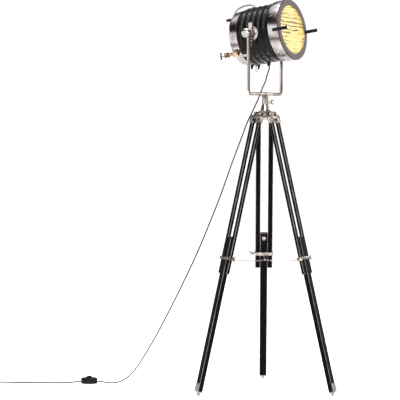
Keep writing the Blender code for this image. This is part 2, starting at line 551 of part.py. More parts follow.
def build_cord(stand):
    """The lead: gland, past the yoke bar, down behind the tripod to the floor switch, then a stored coil."""
    def at(reach, azimuth, z):
        turn = math.radians(azimuth)
        return (reach * math.cos(turn), TRIPOD_Y + reach * math.sin(turn), z)

    gland_end = 0.1335 + GAP
    out = (0.0, TRIPOD_Y - gland_end * math.sin(HEAD_TILT), PIVOT_Z - gland_end * math.cos(HEAD_TILT))
    below = (0.0, out[1] - 0.0002, out[2] - 0.012)
    join = Vector(at(0.0262, 106, 1.2340))
    onward = (Vector(at(0.0400, 101, 1.205)) - Vector(at(0.0185, 104, 1.254))).normalized()
    upper = [out, below, at(0.0092, -91, 1.325), at(0.0016, -92, 1.299), at(0.0105, 97, 1.276),
             at(0.0188, 104, 1.253), join - onward * 0.006, join - onward * GAP / 2]
    cord("upper_cord", upper, 16)

    toward = math.atan2(SWITCH_AT[1], SWITCH_AT[0])
    direction = Vector((math.cos(math.radians(TAIL_AZIMUTH)), math.sin(math.radians(TAIL_AZIMUTH)), 0.0))
    centre = Vector((SWITCH_AT[0], TRIPOD_Y + SWITCH_AT[1], 0.0))
    entry_z = 0.0085
    enter = centre - direction * (0.036 + GAP)
    leave = centre + direction * (0.036 + GAP)
    az = math.degrees(toward)
    lower = [join + onward * GAP / 2, join + onward * 0.006, at(0.0400, 101, 1.205), at(0.0595, 97.5, 1.168),
             at(0.0800, 99, 1.126), at(0.1060, 102, 1.056), at(0.1465, 104.5, 0.948), at(0.1930, 106, 0.817),
             at(0.2400, az, 0.697), at(0.2860, az, 0.588), at(0.3400, az, 0.473), at(0.4000, az, 0.353),
             at(0.4720, az, 0.217), at(0.5450, az, 0.096), at(0.5850, az, 0.046), at(0.6200, az, 0.0190),
             at(0.6550, az, 0.0070), at(0.6900, az - 0.3, 0.0055),
             (enter - direction * 0.012).to_tuple()[:2] + (entry_z,), (enter.x, enter.y, entry_z)]
    cord("lower_cord", lower, 50)

    side = Vector((-direction.y, direction.x, 0.0))
    length = 0.392

    def along(reach, off, z=CORD_R + 0.0003):
        place = centre + direction * reach + side * off
        return (place.x, place.y, z)

    coil_at = centre + direction * (0.036 + length) + side * COIL_TURN_R
    tail = [(leave.x, leave.y, entry_z), along(0.052, 0.0005, entry_z - 0.001), along(0.075, 0.0015, 0.0045),
            along(0.100, 0.003), along(0.150, 0.006), along(0.220, 0.008), along(0.290, 0.006), along(0.350, 0.002),
            along(0.392, -0.0055)]
    reach_in = 0.428 - 0.0009
    tail += [along(reach_in - 0.011, -0.0090 - 0.0006)]
    cord("cord_tail", tail, 16)

    inner, outer, height = COIL_TURN_R - 2 * CORD_R, COIL_TURN_R + 2 * CORD_R, 4 * CORD_R
    low = 0.0003
    bevel = 0.0018
    ring = [(outer - bevel, low + height), (outer, low + height - bevel), (outer, low + bevel), (outer - bevel, low),
            (inner + bevel, low), (inner, low + bevel), (inner, low + height - bevel), (inner + bevel, low + height)]
    add("cord_coil", turned(ring, 28), black_plastic(), None, (coil_at.x, coil_at.y, 0.0))

    case = [(0.036 * math.cos(math.radians(a)), 0.0275 * math.sin(math.radians(a))) for a in range(0, 360, 20)]
    body = add("foot_switch_body", plate(case, 0.0003, 0.0255, "Z"), black_plastic(), None, tuple(centre),
               (0.0, 0.0, math.radians(TAIL_AZIMUTH)))
    edge = body.modifiers.new("edges", "BEVEL")
    edge.width, edge.segments, edge.limit_method, edge.angle_limit = 0.004, 1, "ANGLE", math.radians(60)
    combine(body, cylinder(0.0118, 0.0155, 0.035, 16), "DIFFERENCE")
    button = [(0.0, 0.0335), (0.0070, 0.0330), (0.0105, 0.0310), (0.0113, 0.0285), (0.0113, 0.0195), (0.0, 0.0195)]
    add("foot_switch_button", turned(button, 16), black_plastic(), None, tuple(centre))

    plug_at = coil_at + direction * (COIL_TURN_R + CORD_R) + side * 0.060
    floor_gap, thick = 0.0003, 0.016
    grip = [(-0.022, -0.006), (-0.008, -0.0125), (0.018, -0.0125), (0.018, 0.0125), (-0.008, 0.0125), (-0.022, 0.006)]
    plug = add("plug", plate(grip, floor_gap, floor_gap + thick, "Z"), black_plastic(), None,
               (plug_at.x, plug_at.y, 0.0), (0.0, 0.0, math.radians(TAIL_AZIMUTH + 90)))
    for offset in (-0.0064, 0.0064):
        combine(plug, box((0.016, offset - 0.0008, 0.0053), (0.034, offset + 0.0008, 0.0115)))


def build():
    for old in list(bpy.data.objects):
        bpy.data.objects.remove(old, do_unlink=True)
    stand = empty("stand_axis", (0.0, TRIPOD_Y, 0.0))
    build_tripod_head(stand)
    for index, azimuth in enumerate(LEG_AZIMUTHS):
        build_leg(index, azimuth, stand)
    build_chains(stand)
    turn = math.radians(PAN_SCREW_AZIMUTH)
    seat = 0.0142
    thumb_screw("pan_screw", stand, (seat * math.cos(turn), seat * math.sin(turn), PAN_SCREW_Z),
                (math.radians(90), 0.0, turn + math.radians(90)), 0.0050, 0.012)

    build_yoke(stand)
    pivot = empty("tilt_axis", (0.0, 0.0, PIVOT_Z), parent=stand)
    head = empty("head_axis", (0.0, 0.0, PIVOT_Z), (-HEAD_TILT, 0.0, 0.0), stand)
    build_tilt_hardware(head, pivot)
    build_housing(head)
    build_front(head)
    build_lamp(head)
    build_rear(head)
    build_cord(stand)


build()
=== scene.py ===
"""Tripod floor lamp: the looks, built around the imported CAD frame."""
import json
from math import atan2, cos, degrees, pi, radians, sin, sqrt

import bmesh
import bpy
from mathutils import Matrix, Vector


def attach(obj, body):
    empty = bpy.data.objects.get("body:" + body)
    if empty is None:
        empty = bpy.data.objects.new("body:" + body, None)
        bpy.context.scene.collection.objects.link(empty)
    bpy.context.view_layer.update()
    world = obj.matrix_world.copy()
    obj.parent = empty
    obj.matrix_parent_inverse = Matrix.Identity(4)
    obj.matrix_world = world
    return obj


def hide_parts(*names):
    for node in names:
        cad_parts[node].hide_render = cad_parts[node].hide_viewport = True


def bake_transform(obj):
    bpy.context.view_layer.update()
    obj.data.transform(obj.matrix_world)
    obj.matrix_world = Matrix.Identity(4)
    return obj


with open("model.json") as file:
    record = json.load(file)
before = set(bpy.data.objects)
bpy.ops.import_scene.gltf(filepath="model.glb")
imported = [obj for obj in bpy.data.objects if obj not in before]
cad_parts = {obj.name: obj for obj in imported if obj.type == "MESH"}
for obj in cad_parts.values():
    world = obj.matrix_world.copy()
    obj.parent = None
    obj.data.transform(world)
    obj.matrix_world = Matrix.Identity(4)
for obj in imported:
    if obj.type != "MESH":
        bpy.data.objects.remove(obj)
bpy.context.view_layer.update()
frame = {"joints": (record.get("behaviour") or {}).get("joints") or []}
joints = {joint["name"]: joint for joint in frame["joints"]}
PIVOT = Vector(joints["head_tilt"]["pos_m"])
POST = Vector((PIVOT.x, PIVOT.y, 0.0))  # the tripod's vertical axis on the floor
HEAD_TILT = 8.0  # degrees the front of the head points up
LEG_TILT = radians(13.86)
SIDES = (("left", -1), ("right", 1))
GAP = 0.0003  # play between neighbouring parts
CORD_R = 0.00275
COIL_R = 0.0335
SWITCH = POST + Vector((-0.237, 0.734, 0.0))
SWITCH_HALF = 0.036  # from the switch's middle to the cord's entry
COIL_REACH = SWITCH_HALF + 0.392  # from the switch to the coil's middle
TAIL_AZIMUTH = 118.6
ENTRY_Z = 0.0085
PAN_SCREW_AZIMUTH, PAN_SCREW_Z = -61.4, 1.2126
LEG_AZIMUTHS = (270.0, 30.0, 150.0)
HINGE_R, HINGE_Z = 0.0363, 1.164
CLAMP_AT, STOP_AT = 0.6185, 0.549  # down each leg from its hinge
SHELL_R, RIB_R = 0.1165, 0.1205
GLAND_END = 0.1335  # from the head's axis to the cord's exit
RAIL_INNER, RAIL_OUTER = 0.016, 0.037  # from a leg's middle to its rails' faces
RAIL_HALF, LOWER_HALF = 0.0065, 0.0106  # half the depth of a rail and of a lower leg
T_SCREW_TURN, T_SCREW_R = 34, 0.1225  # degrees below the side, and from the head's axis


def mirrored(side, near, far):
    """The two distances on one side of the middle, lower value first."""
    return sorted((side * near, side * far))


def rot(angle, axis):
    """A rotation in degrees about X, Y or Z."""
    return Matrix.Rotation(radians(angle), 4, axis)


def shift(x, y, z):
    return Matrix.Translation((x, y, z))


def link(made):
    bpy.context.scene.collection.objects.link(made)


HEAD = shift(*PIVOT) @ rot(-HEAD_TILT, "X")
STAND = shift(*POST)
X_AXIS, MINUS_X = rot(90, "Y"), rot(-90, "Y")  # turn a lathe's +Z to +X, and to -X
BACK, FORWARD, DOWN = rot(-90, "X"), rot(90, "X"), rot(180, "X")  # to +Y, to -Y and to -Z
ALONG = Vector((cos(radians(TAIL_AZIMUTH)), sin(radians(TAIL_AZIMUTH)), 0.0))
ASIDE = Vector((-ALONG.y, ALONG.x, 0.0))


# ---- materials

def nodes_of(name):
    made = bpy.data.materials.new(name)
    made.use_nodes = True
    tree = made.node_tree
    return made, tree, tree.nodes["Principled BSDF"]


def put(node, **values):
    """Set sockets to constants; an underscore stands for a space."""
    for name, value in values.items():
        node.inputs[name.replace("_", " ")].default_value = value


def noise(tree, scale, detail, stretch=(1.0, 1.0, 1.0)):
    """A noise texture in the object's own coordinates, stretched along an axis."""
    place = tree.nodes.new("ShaderNodeTexCoord")
    mapping = tree.nodes.new("ShaderNodeMapping")
    put(mapping, Scale=stretch)
    texture = tree.nodes.new("ShaderNodeTexNoise")
    put(texture, Scale=scale, Detail=detail)
    tree.links.new(place.outputs["Object"], mapping.inputs["Vector"])
    tree.links.new(mapping.outputs["Vector"], texture.inputs["Vector"])
    return texture.outputs["Fac"]


def ramp(tree, factor, *stops):
    """A colour ramp; each stop is a position and a grey level or a colour."""
    node = tree.nodes.new("ShaderNodeValToRGB")
    while len(node.color_ramp.elements) < len(stops):
        node.color_ramp.elements.new(0.5)
    for element, (position, value) in zip(node.color_ramp.elements, stops):
        element.position = position
        element.color = (*value, 1.0) if isinstance(value, tuple) else (value, value, value, 1.0)
    tree.links.new(factor, node.inputs["Fac"])
    return node.outputs["Color"]


def bump(tree, shader, height, strength, distance):
    node = tree.nodes.new("ShaderNodeBump")
    put(node, Strength=strength, Distance=distance)
    tree.links.new(height, node.inputs["Height"])
    tree.links.new(node.outputs["Normal"], shader.inputs["Normal"])


def times(tree, first, second):
    """Two colours multiplied."""
    mix = tree.nodes.new("ShaderNodeMix")
    mix.data_type, mix.blend_type = "RGBA", "MULTIPLY"
    mix.inputs["Factor"].default_value = 1.0
    tree.links.new(first, mix.inputs["A"])
    tree.links.new(second, mix.inputs["B"])
    return mix.outputs["Result"]


def painted_reflection_tone(tree, direction, *stops):
    """A tone set by which way the surface faces: painted reflections of the studio's dark bands in polished
    metal.
    """
    normal = tree.nodes.new("ShaderNodeNewGeometry")
    along = tree.nodes.new("ShaderNodeVectorMath")
    along.operation = "DOT_PRODUCT"
    along.inputs[1].default_value = direction
    tree.links.new(normal.outputs["Normal"], along.inputs[0])
    spread = tree.nodes.new("ShaderNodeMapRange")
    put(spread, From_Min=-1.0)
    tree.links.new(along.outputs["Value"], spread.inputs["Value"])
    return ramp(tree, spread.outputs["Result"], *[((at_value + 1) / 2, tone) for at_value, tone in stops])


def metal(name, bright, dark, rough, streak=(1.0, 1.0, 1.0), scale=14.0, spots=0.0, painted_reflections=()):
    """Polished metal: uneven tone in soft streaks, in part a painted smeared reflection, painted dark
    reflections set by the way each surface faces, a varying polish and fine scratches.
    """
    made, tree, shader = nodes_of(name)
    put(shader, Metallic=1.0)
    tone = ramp(tree, noise(tree, scale, 4.0, streak), (0.36, dark), (0.62, bright))
    # Painted reflection bands, multiplied into the colour.
    for direction, stops in painted_reflections:
        tone = times(tree, tone, painted_reflection_tone(tree, direction, *stops))
    tree.links.new(tone, shader.inputs["Base Color"])
    polish = noise(tree, 60.0, 5.0, streak)
    tree.links.new(ramp(tree, polish, (0.3, rough[0]), (0.7, rough[1])), shader.inputs["Roughness"])
    bump(tree, shader, noise(tree, 420.0, 2.0, streak), 0.05 + spots, 0.0004)
    return made


def paint(name, low, high, rough, scale=30.0, stretch=(1.0, 1.0, 1.0), relief=0.08, fine=260.0, gloss=0.5):
    """Painted, moulded or rubber surface with a slight mottle and a fine texture."""
    made, tree, shader = nodes_of(name)
    tree.links.new(ramp(tree, noise(tree, scale, 4.0, stretch), (0.35, low), (0.7, high)),
        shader.inputs["Base Color"])
    tree.links.new(ramp(tree, noise(tree, scale * 3, 4.0, stretch), (0.3, rough[0]), (0.75, rough[1])),
        shader.inputs["Roughness"])
    put(shader, Specular_IOR_Level=gloss)
    bump(tree, shader, noise(tree, fine, 3.0, stretch), relief, 0.0006)
    return made


def lit_lens():
    """Fluted amber-cream glass with the lamp on behind it: thin brown wavy lines between bright ribs."""
    made, tree, shader = nodes_of("lit_lens")
    place = tree.nodes.new("ShaderNodeTexCoord")
    mapping = tree.nodes.new("ShaderNodeMapping")
    put(mapping, Scale=(0.3, 0.3, 1.0), Rotation=(0.0, radians(-4), 0.0))
    tree.links.new(place.outputs["Object"], mapping.inputs["Vector"])
    wave = tree.nodes.new("ShaderNodeTexWave")
    wave.bands_direction = "Z"
    put(wave, Scale=20.0, Distortion=5.0, Detail=2.5, Detail_Scale=2.6)
    tree.links.new(mapping.outputs["Vector"], wave.inputs["Vector"])
    lines = ramp(tree, wave.outputs["Fac"], (0.08, (0.1, 0.05, 0.014)), (0.17, (0.34, 0.19, 0.045)),
        (0.27, (1.0, 1.0, 1.0)))
    fade = ramp(tree, noise(tree, 13.0, 2.0, (0.7, 1.0, 1.8)), (0.4, 1.0), (0.56, 0.0))
    glow = ramp(tree, noise(tree, 9.0, 3.0, (0.8, 1.0, 2.0)), (0.3, (0.98, 0.68, 0.17)),
        (0.62, (1.0, 0.86, 0.3)))
    gap = tree.nodes.new("ShaderNodeMix")
    gap.data_type = "RGBA"
    gap.inputs["B"].default_value = (1.0, 1.0, 1.0, 1.0)
    tree.links.new(fade, gap.inputs["Factor"])
    tree.links.new(lines, gap.inputs["A"])
    colour = times(tree, gap.outputs["Result"], glow)
    tree.links.new(colour, shader.inputs["Emission Color"])
    tree.links.new(times(tree, colour, ramp(tree, wave.outputs["Fac"], (0.0, 0.04), (1.0, 0.07))),
        shader.inputs["Base Color"])
    put(shader, Emission_Strength=0.86, Roughness=0.25, Specular_IOR_Level=0.15)
    return made


UP = (0.0, 0.0, 1.0)
ACROSS = (0.479, -0.878, 0.0)  # level, to the right in the main view
# Painted reflections for the metals: bands of light and dark colour set by the way a surface faces.
SKY_PAINTED_REFLECTIONS = (UP, ((-1.0, (0.5, 0.49, 0.48)), (-0.42, (0.62, 0.6, 0.58)), (-0.3, (0.16, 0.13, 0.12)),
    (-0.18, (0.9, 0.88, 0.88)), (0.14, (1.0, 0.98, 0.98)), (0.26, (0.22, 0.16, 0.15)),
    (0.48, (0.28, 0.21, 0.2)), (0.62, (0.95, 0.91, 0.96))))
TUBE_PAINTED_REFLECTIONS = (ACROSS, ((-0.98, (0.1, 0.07, 0.06)), (-0.86, (0.9, 0.87, 0.85)), (-0.25, (1.0, 0.99, 0.98)),
    (0.00, (0.34, 0.27, 0.24)), (0.3, (0.1, 0.075, 0.065)), (0.62, (0.3, 0.24, 0.21)),
    (0.8, (0.62, 0.57, 0.54)), (0.97, (0.07, 0.05, 0.045))))
CAST_PAINTED_REFLECTIONS = (ACROSS, ((-0.92, (0.14, 0.11, 0.1)), (-0.62, (0.95, 0.93, 0.91)), (-0.1, (1.0, 1.0, 0.98)),
    (0.25, (0.24, 0.19, 0.17)), (0.55, (0.92, 0.9, 0.86)), (0.95, (0.12, 0.09, 0.08))))
TOP_PAINTED_REFLECTIONS = (UP, ((-0.95, (0.3, 0.28, 0.26)), (-0.45, (0.85, 0.83, 0.81)), (0.35, (1.0, 1.0, 1.0)),
    (0.62, (0.35, 0.29, 0.26)), (0.95, (0.75, 0.72, 0.7))))
# Chrome, nickel and brass carry painted reflection bands in their colour.
CHROME = metal("polished_chrome", (0.78, 0.75, 0.76), (0.5, 0.46, 0.46), (0.13, 0.24), scale=22.0,
    painted_reflections=[SKY_PAINTED_REFLECTIONS])
NICKEL = metal("warm_nickel", (0.78, 0.73, 0.69), (0.34, 0.28, 0.25), (0.12, 0.26), (1.0, 1.0, 0.35), 26.0,
    painted_reflections=[TUBE_PAINTED_REFLECTIONS])
CAST_NICKEL = metal("cast_nickel", (0.76, 0.71, 0.66), (0.17, 0.135, 0.115), (0.14, 0.32), (1.0, 1.0, 0.6),
    60.0, 0.1, painted_reflections=[CAST_PAINTED_REFLECTIONS, TOP_PAINTED_REFLECTIONS])
RIM = metal("rim_bronze_grey", (0.078, 0.062, 0.06), (0.048, 0.038, 0.037), (0.38, 0.5), (1.0, 1.0, 1.0),
    60.0)
BRASS = metal("aged_brass", (0.56, 0.44, 0.28), (0.26, 0.18, 0.11), (0.18, 0.34), scale=60.0,
    painted_reflections=[CAST_PAINTED_REFLECTIONS])
ZINC = metal("dull_zinc", (0.42, 0.41, 0.39), (0.2, 0.19, 0.18), (0.34, 0.5), scale=70.0, spots=0.15)
ENAMEL = paint("black_enamel", 0.0016, 0.0034, (0.15, 0.21), relief=0.002, fine=90.0, gloss=0.14)
WOOD = paint("black_lacquered_wood", (0.002, 0.0016, 0.0014), (0.0048, 0.004, 0.0035), (0.42, 0.58),
    scale=18.0, stretch=(6.0, 6.0, 0.5), relief=0.14, fine=46.0, gloss=0.035)
# Lighter lacquer for the chamfers: a painted highlight along the bars' edges.
WOOD_EDGE_HIGHLIGHT = paint("lacquer_painted_edge_highlight", (0.07, 0.061, 0.057), (0.2, 0.18, 0.17), (0.36, 0.5), scale=24.0,
    stretch=(3.0, 3.0, 0.8), relief=0.12, fine=60.0, gloss=0.16)
PLASTIC = paint("black_plastic", 0.003, 0.008, (0.34, 0.5), gloss=0.12)
SHEATH = paint("cord_sheath", 0.02, 0.034, (0.42, 0.6), relief=0.12, fine=500.0, gloss=0.2)
HOLDER = paint("holder_bakelite", 0.02, 0.035, (0.3, 0.45), gloss=0.3)
MIRROR = metal("reflector_aluminium", (0.9, 0.88, 0.84), (0.78, 0.75, 0.7), (0.08, 0.16), scale=30.0)
BULB = paint("frosted_bulb", (0.95, 0.86, 0.7), (1.0, 0.93, 0.78), (0.3, 0.4))
LENS = lit_lens()


# ---- shapes

def bridge(bm, rings, sides):
    """Faces from each ring to the next; a ring of one point makes a fan."""
    for upper, lower in zip(rings, rings[1:]):
        for k in range(sides):
            n = (k + 1) % sides
            corners = (upper[k % len(upper)], upper[n % len(upper)], lower[n % len(lower)],
                lower[k % len(lower)])
            face = list(dict.fromkeys(corners))
            if len(face) > 2:
                bm.faces.new(face)


def lathe(outline, sides, aim=None):
    """Turn (radius, height) points about +Z; closed if the ends lie on the axis or the outline is hollow."""
    bm = bmesh.new()
    rings = []
    for radius, height in outline:
        turns = [2 * pi * k / sides for k in range(1 if radius < 1e-7 else sides)]
        rings.append([bm.verts.new((radius * cos(t), radius * sin(t), height)) for t in turns])
    hollow = len(rings[0]) > 1 and len(rings[-1]) > 1
    bridge(bm, rings + rings[:1] if hollow else rings, sides)
    return moved(bm, aim) if aim else bm


def rounded(points, radius, steps=3, closed=False):
    """Replace a polyline's corners with arcs, never longer than 45% of the shorter side."""
    out = []
    count = len(points)
    for k, here in enumerate(points):
        if not closed and k in (0, count - 1):
            out.append(here)
            continue
        p, q, r = Vector(points[k - 1]), Vector(here), Vector(points[(k + 1) % count])
        before, after = (p - q), (r - q)
        cut = min(radius, before.length * 0.45, after.length * 0.45)
        a, b = q + before.normalized() * cut, q + after.normalized() * cut
        for step in range(steps + 1):
            t = step / steps
            out.append(tuple(a * (1 - t) ** 2 + q * 2 * t * (1 - t) + b * t * t))
    return out


def arc(centre, radius, start, end, steps):
    turns = [radians(start + (end - start) * k / steps) for k in range(steps + 1)]
    return [(centre[0] + radius * cos(t), centre[1] + radius * sin(t)) for t in turns]


def ridges(radius, depth, start, pitch, count):
    """A ridged or threaded stretch of an outline, in and out by depth."""
    return [(radius - depth * (k % 2), start + pitch * k) for k in range(count)]


def smooth(points, per_span):
    """A Catmull-Rom curve through the points."""
    guide = [Vector(p) for p in points]
    guide = [guide[0] * 2 - guide[1]] + guide + [guide[-1] * 2 - guide[-2]]
    out = []
    for a, b, c, d in zip(guide, guide[1:], guide[2:], guide[3:]):
        for step in range(per_span):
            t = step / per_span
            out.append(0.5 * ((2 * b) + (c - a) * t + (2 * a - 5 * b + 4 * c - d) * t * t
                + (3 * b - a - 3 * c + d) * t ** 3))
    return out + [guide[-2]]


def sweep(points, radius, sides):
    """A round tube along a path, with flat ends."""
    bm = bmesh.new()
    path = [Vector(p) for p in points]
    side = (path[1] - path[0]).orthogonal()
    rings = []
    for k, point in enumerate(path):
        ahead = (path[min(k + 1, len(path) - 1)] - path[max(k - 1, 0)]).normalized()
        side = (side - ahead * side.dot(ahead)).normalized()
        other = ahead.cross(side)
        ring = []
        for n in range(sides):
            t = 2 * pi * n / sides
            ring.append(bm.verts.new(point + (side * cos(t) + other * sin(t)) * radius))
        rings.append(ring)
    bridge(bm, rings, sides)
    bm.faces.new(rings[0])
    bm.faces.new(rings[-1])
    return bm


ACROSS_AXIS = {"X": lambda a, b, c: (c, a, b), "Y": lambda a, b, c: (a, c, b), "Z": lambda a, b, c: (a, b, c)}


def slab(outline, low, high, across):
    """Extrude a closed outline between two levels."""
    bm = bmesh.new()
    place = ACROSS_AXIS[across]
    lower = [bm.verts.new(place(a, b, low)) for a, b in outline]
    upper = [bm.verts.new(place(a, b, high)) for a, b in outline]
    bm.faces.new(lower)
    bm.faces.new(upper)
    bridge(bm, [lower, upper], len(outline))
    return bm


def block(low, high):
    (x0, y0, z0), (x1, y1, z1) = low, high
    return slab([(x0, y0), (x1, y0), (x1, y1), (x0, y1)], z0, z1, "Z")


def bevelled(bm, width, segments, angle=30):
    """Round a shape's sharp edges."""
    bmesh.ops.recalc_face_normals(bm, faces=bm.faces)
    bm.normal_update()
    sharp = [e for e in bm.edges if len(e.link_faces) == 2 and e.calc_face_angle(0) > radians(angle)]
    bmesh.ops.bevel(bm, geom=sharp, offset=width, segments=segments, profile=0.5, affect="EDGES",
        clamp_overlap=True)
    return bm


def merge(*shapes):
    """Put several shapes into one mesh as separate closed bodies."""
    whole = bmesh.new()
    for shape in shapes:
        mesh = bpy.data.meshes.new("merge")
        bmesh.ops.recalc_face_normals(shape, faces=shape.faces)
        shape.to_mesh(mesh)
        shape.free()
        whole.from_mesh(mesh)
        bpy.data.meshes.remove(mesh)
    return whole


def moved(bm, matrix):
    bmesh.ops.transform(bm, matrix=matrix, verts=bm.verts)
    return bm


def piece(name, bm, finish, body, place=None, replaces=(), angle=35):
    """Make a finished object from a shape: placed, smoothed, given its material and put on its body."""
    if place:
        moved(bm, place)
    bmesh.ops.recalc_face_normals(bm, faces=bm.faces)
    mesh = bpy.data.meshes.new(name)
    bm.to_mesh(mesh)
    bm.free()
    mesh.shade_smooth()
    mesh.set_sharp_from_angle(angle=radians(angle))
    finishes = finish if isinstance(finish, list) else [finish]
    for each in finishes:
        mesh.materials.append(each)
    made = bpy.data.objects.new(name, mesh)
    link(made)
    if body:
        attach(made, body)
    if replaces:
        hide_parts(*replaces)
    return made


def on_head(name, bm, finish, nodes=(), angle=35):
    """A piece drawn in the tilted head's own frame."""
    return piece(name, bm, finish, "head", HEAD, nodes, angle)


# ---- camera, floor and light

def build_studio():
    """Camera, pale floor, soft world and softboxes."""
    heading = radians(28.61)
    distance, height = 7.14, 1.137
    aside, down = radians(2.19), radians(2.69)
    camera = bpy.data.objects.new("camera", bpy.data.cameras.new("camera"))
    link(camera)
    camera.data.sensor_width, camera.data.lens = 36.0, 153.0
    camera.location = POST + Vector((-cos(heading) * distance, -sin(heading) * distance, height))
    camera.rotation_euler = (radians(90) - down, 0, heading + aside - radians(90))
    camera.data.clip_end = 100.0
    bpy.context.scene.camera = camera

    floor = bpy.data.objects.new("floor", bpy.data.meshes.new("floor"))
    bm = bmesh.new()
    bmesh.ops.create_grid(bm, x_segments=1, y_segments=1, size=40.0)
    bm.to_mesh(floor.data)
    bm.free()
    link(floor)
    made, _, shader = nodes_of("pale_floor")
    put(shader, Base_Color=(0.9, 0.9, 0.9, 1.0), Roughness=0.9, Emission_Color=(1.0, 1.0, 1.0, 1.0),
        Emission_Strength=0.55)
    floor.data.materials.append(made)

    world = bpy.data.worlds.new("studio")
    bpy.context.scene.world = world
    world.use_nodes = True
    tree = world.node_tree
    place = tree.nodes.new("ShaderNodeTexCoord")
    split = tree.nodes.new("ShaderNodeSeparateXYZ")
    tree.links.new(place.outputs["Generated"], split.inputs["Vector"])
    shade = ramp(tree, split.outputs["Z"], (0, 1.0), (0.22, 1.0), (0.34, 0.1), (0.62, 0.07), (0.74, 0.9))
    back = tree.nodes["Background"]
    tree.links.new(shade, back.inputs["Color"])
    put(back, Strength=1.08)

    def softbox(name, place, aim, size, power):
        lamp = bpy.data.lights.new(name, "AREA")
        lamp.shape, lamp.size, lamp.size_y, lamp.energy = "RECTANGLE", size[0], size[1], power
        made = bpy.data.objects.new(name, lamp)
        link(made)
        made.location = place
        made.rotation_euler = (Vector(aim) - Vector(place)).to_track_quat("-Z", "Y").to_euler()

    softbox("key", (-3.2, -3.4, 3.6), (0, 0, 1.1), (1.2, 1.6), 90)
    softbox("fill", (3.6, -2.0, 2.6), (0, 0, 1.1), (2.0, 2.6), 50)
    softbox("top", (0, 0.5, 4.6), (0, 0, 0.8), (1.1, 1.6), 80)
    for name, place in (("arc_low", (-2.9, -0.9, 3.3)), ("arc_mid", (-2.2, -0.5, 4.0)),
            ("arc_high", (-1.2, 0, 4.5))):
        softbox(name, place, (0, 0, 1.5), (1.2, 1.3), 42)
    bpy.context.scene.view_settings.view_transform = "Standard"


# ---- cord

def at(reach, azimuth, z):
    """A point by its distance and azimuth from the stand's axis, and its height."""
    turn = radians(azimuth)
    return POST + Vector((reach * cos(turn), reach * sin(turn), z))


def build_cord():
    """The lead in three stretches: to the yoke, to the floor switch, and on to the coil."""
    out = HEAD @ Vector((0, 0, -GLAND_END - GAP))
    below = Vector((0, out.y - 0.0002, out.z - 0.012))
    join = at(0.0262, 106, 1.234)
    onward = (at(0.04, 101, 1.205) - at(0.0185, 104, 1.254)).normalized()
    upper = smooth([out, below, at(0.0092, -91, 1.325), at(0.0016, -92, 1.299), at(0.0105, 97, 1.276),
        at(0.0188, 104, 1.253), join - onward * 0.006, join], 6)
    made = piece("lead_upper", sweep(upper, CORD_R, 16), SHEATH, None, replaces=["upper_cord"])
    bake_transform(made)

    az = degrees(atan2(SWITCH.y - POST.y, SWITCH.x - POST.x))
    enter = SWITCH - ALONG * (SWITCH_HALF + GAP)
    flat = enter - ALONG * 0.012
    lower = smooth([join, join + onward * 0.006, at(0.04, 101, 1.205), at(0.0595, 97.5, 1.168),
        at(0.08, 99, 1.126), at(0.106, 102, 1.056), at(0.1465, 104.5, 0.948), at(0.193, 106, 0.817),
        at(0.24, az, 0.697), at(0.286, az, 0.588), at(0.34, az, 0.473), at(0.4, az, 0.353),
        at(0.472, az, 0.217), at(0.545, az, 0.096), at(0.585, az, 0.046), at(0.62, az, 0.019),
        at(0.655, az, 0.007), at(0.69, az - 0.3, 0.0055), (flat.x, flat.y, ENTRY_Z),
        (enter.x, enter.y, ENTRY_Z)], 8)
    made = piece("lead_lower", sweep(lower, CORD_R, 14), SHEATH, None, replaces=["lower_cord"])
    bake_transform(made)

    floor_z = CORD_R + GAP

    def along(reach, off, z=floor_z):
        return SWITCH + ALONG * reach + ASIDE * off + Vector((0, 0, z))

    outer, inner = COIL_R + CORD_R, COIL_R - CORD_R
    tail = [along(SWITCH_HALF + GAP, 0, ENTRY_Z), along(0.052, 0.0005, ENTRY_Z - 0.001),
        along(0.075, 0.0015, 0.0045), along(0.1, 0.003), along(0.15, 0.006), along(0.22, 0.008),
        along(0.29, 0.006), along(0.35, 0.0015), along(0.392, -0.002)]
    # Two turns on the floor, outer then inner, and two on top of them, inner then outer.
    layer = floor_z + 2 * CORD_R
    turns = [(outer, floor_z), (inner, floor_z), (inner, layer), (outer, layer)]
    steps = 24
    for number, (radius, z) in enumerate(turns):
        next_radius, next_z = turns[min(number + 1, 3)]
        last = 6 if number == 3 else 0
        for k in range(steps + last):
            share = max(0, (k - 17) / 6) if number < 3 else 0
            ease = min(share, 1.0) ** 2 * (3 - 2 * min(share, 1.0))
            turn = radians(-90 + 360 * k / steps)
            reach = radius + (next_radius - radius) * ease
            tail.append(along(COIL_REACH + reach * cos(turn), COIL_R + reach * sin(turn),
                z + (next_z - z) * ease))
    tail += [along(COIL_REACH + outer, COIL_R + y, layer) for y in (0.004, 0.016, 0.028, 0.0376)]
    tail = smooth(tail, 3)
    made = piece("lead_tail", sweep(tail, CORD_R, 12), SHEATH, "root", replaces=["cord_tail", "cord_coil"])


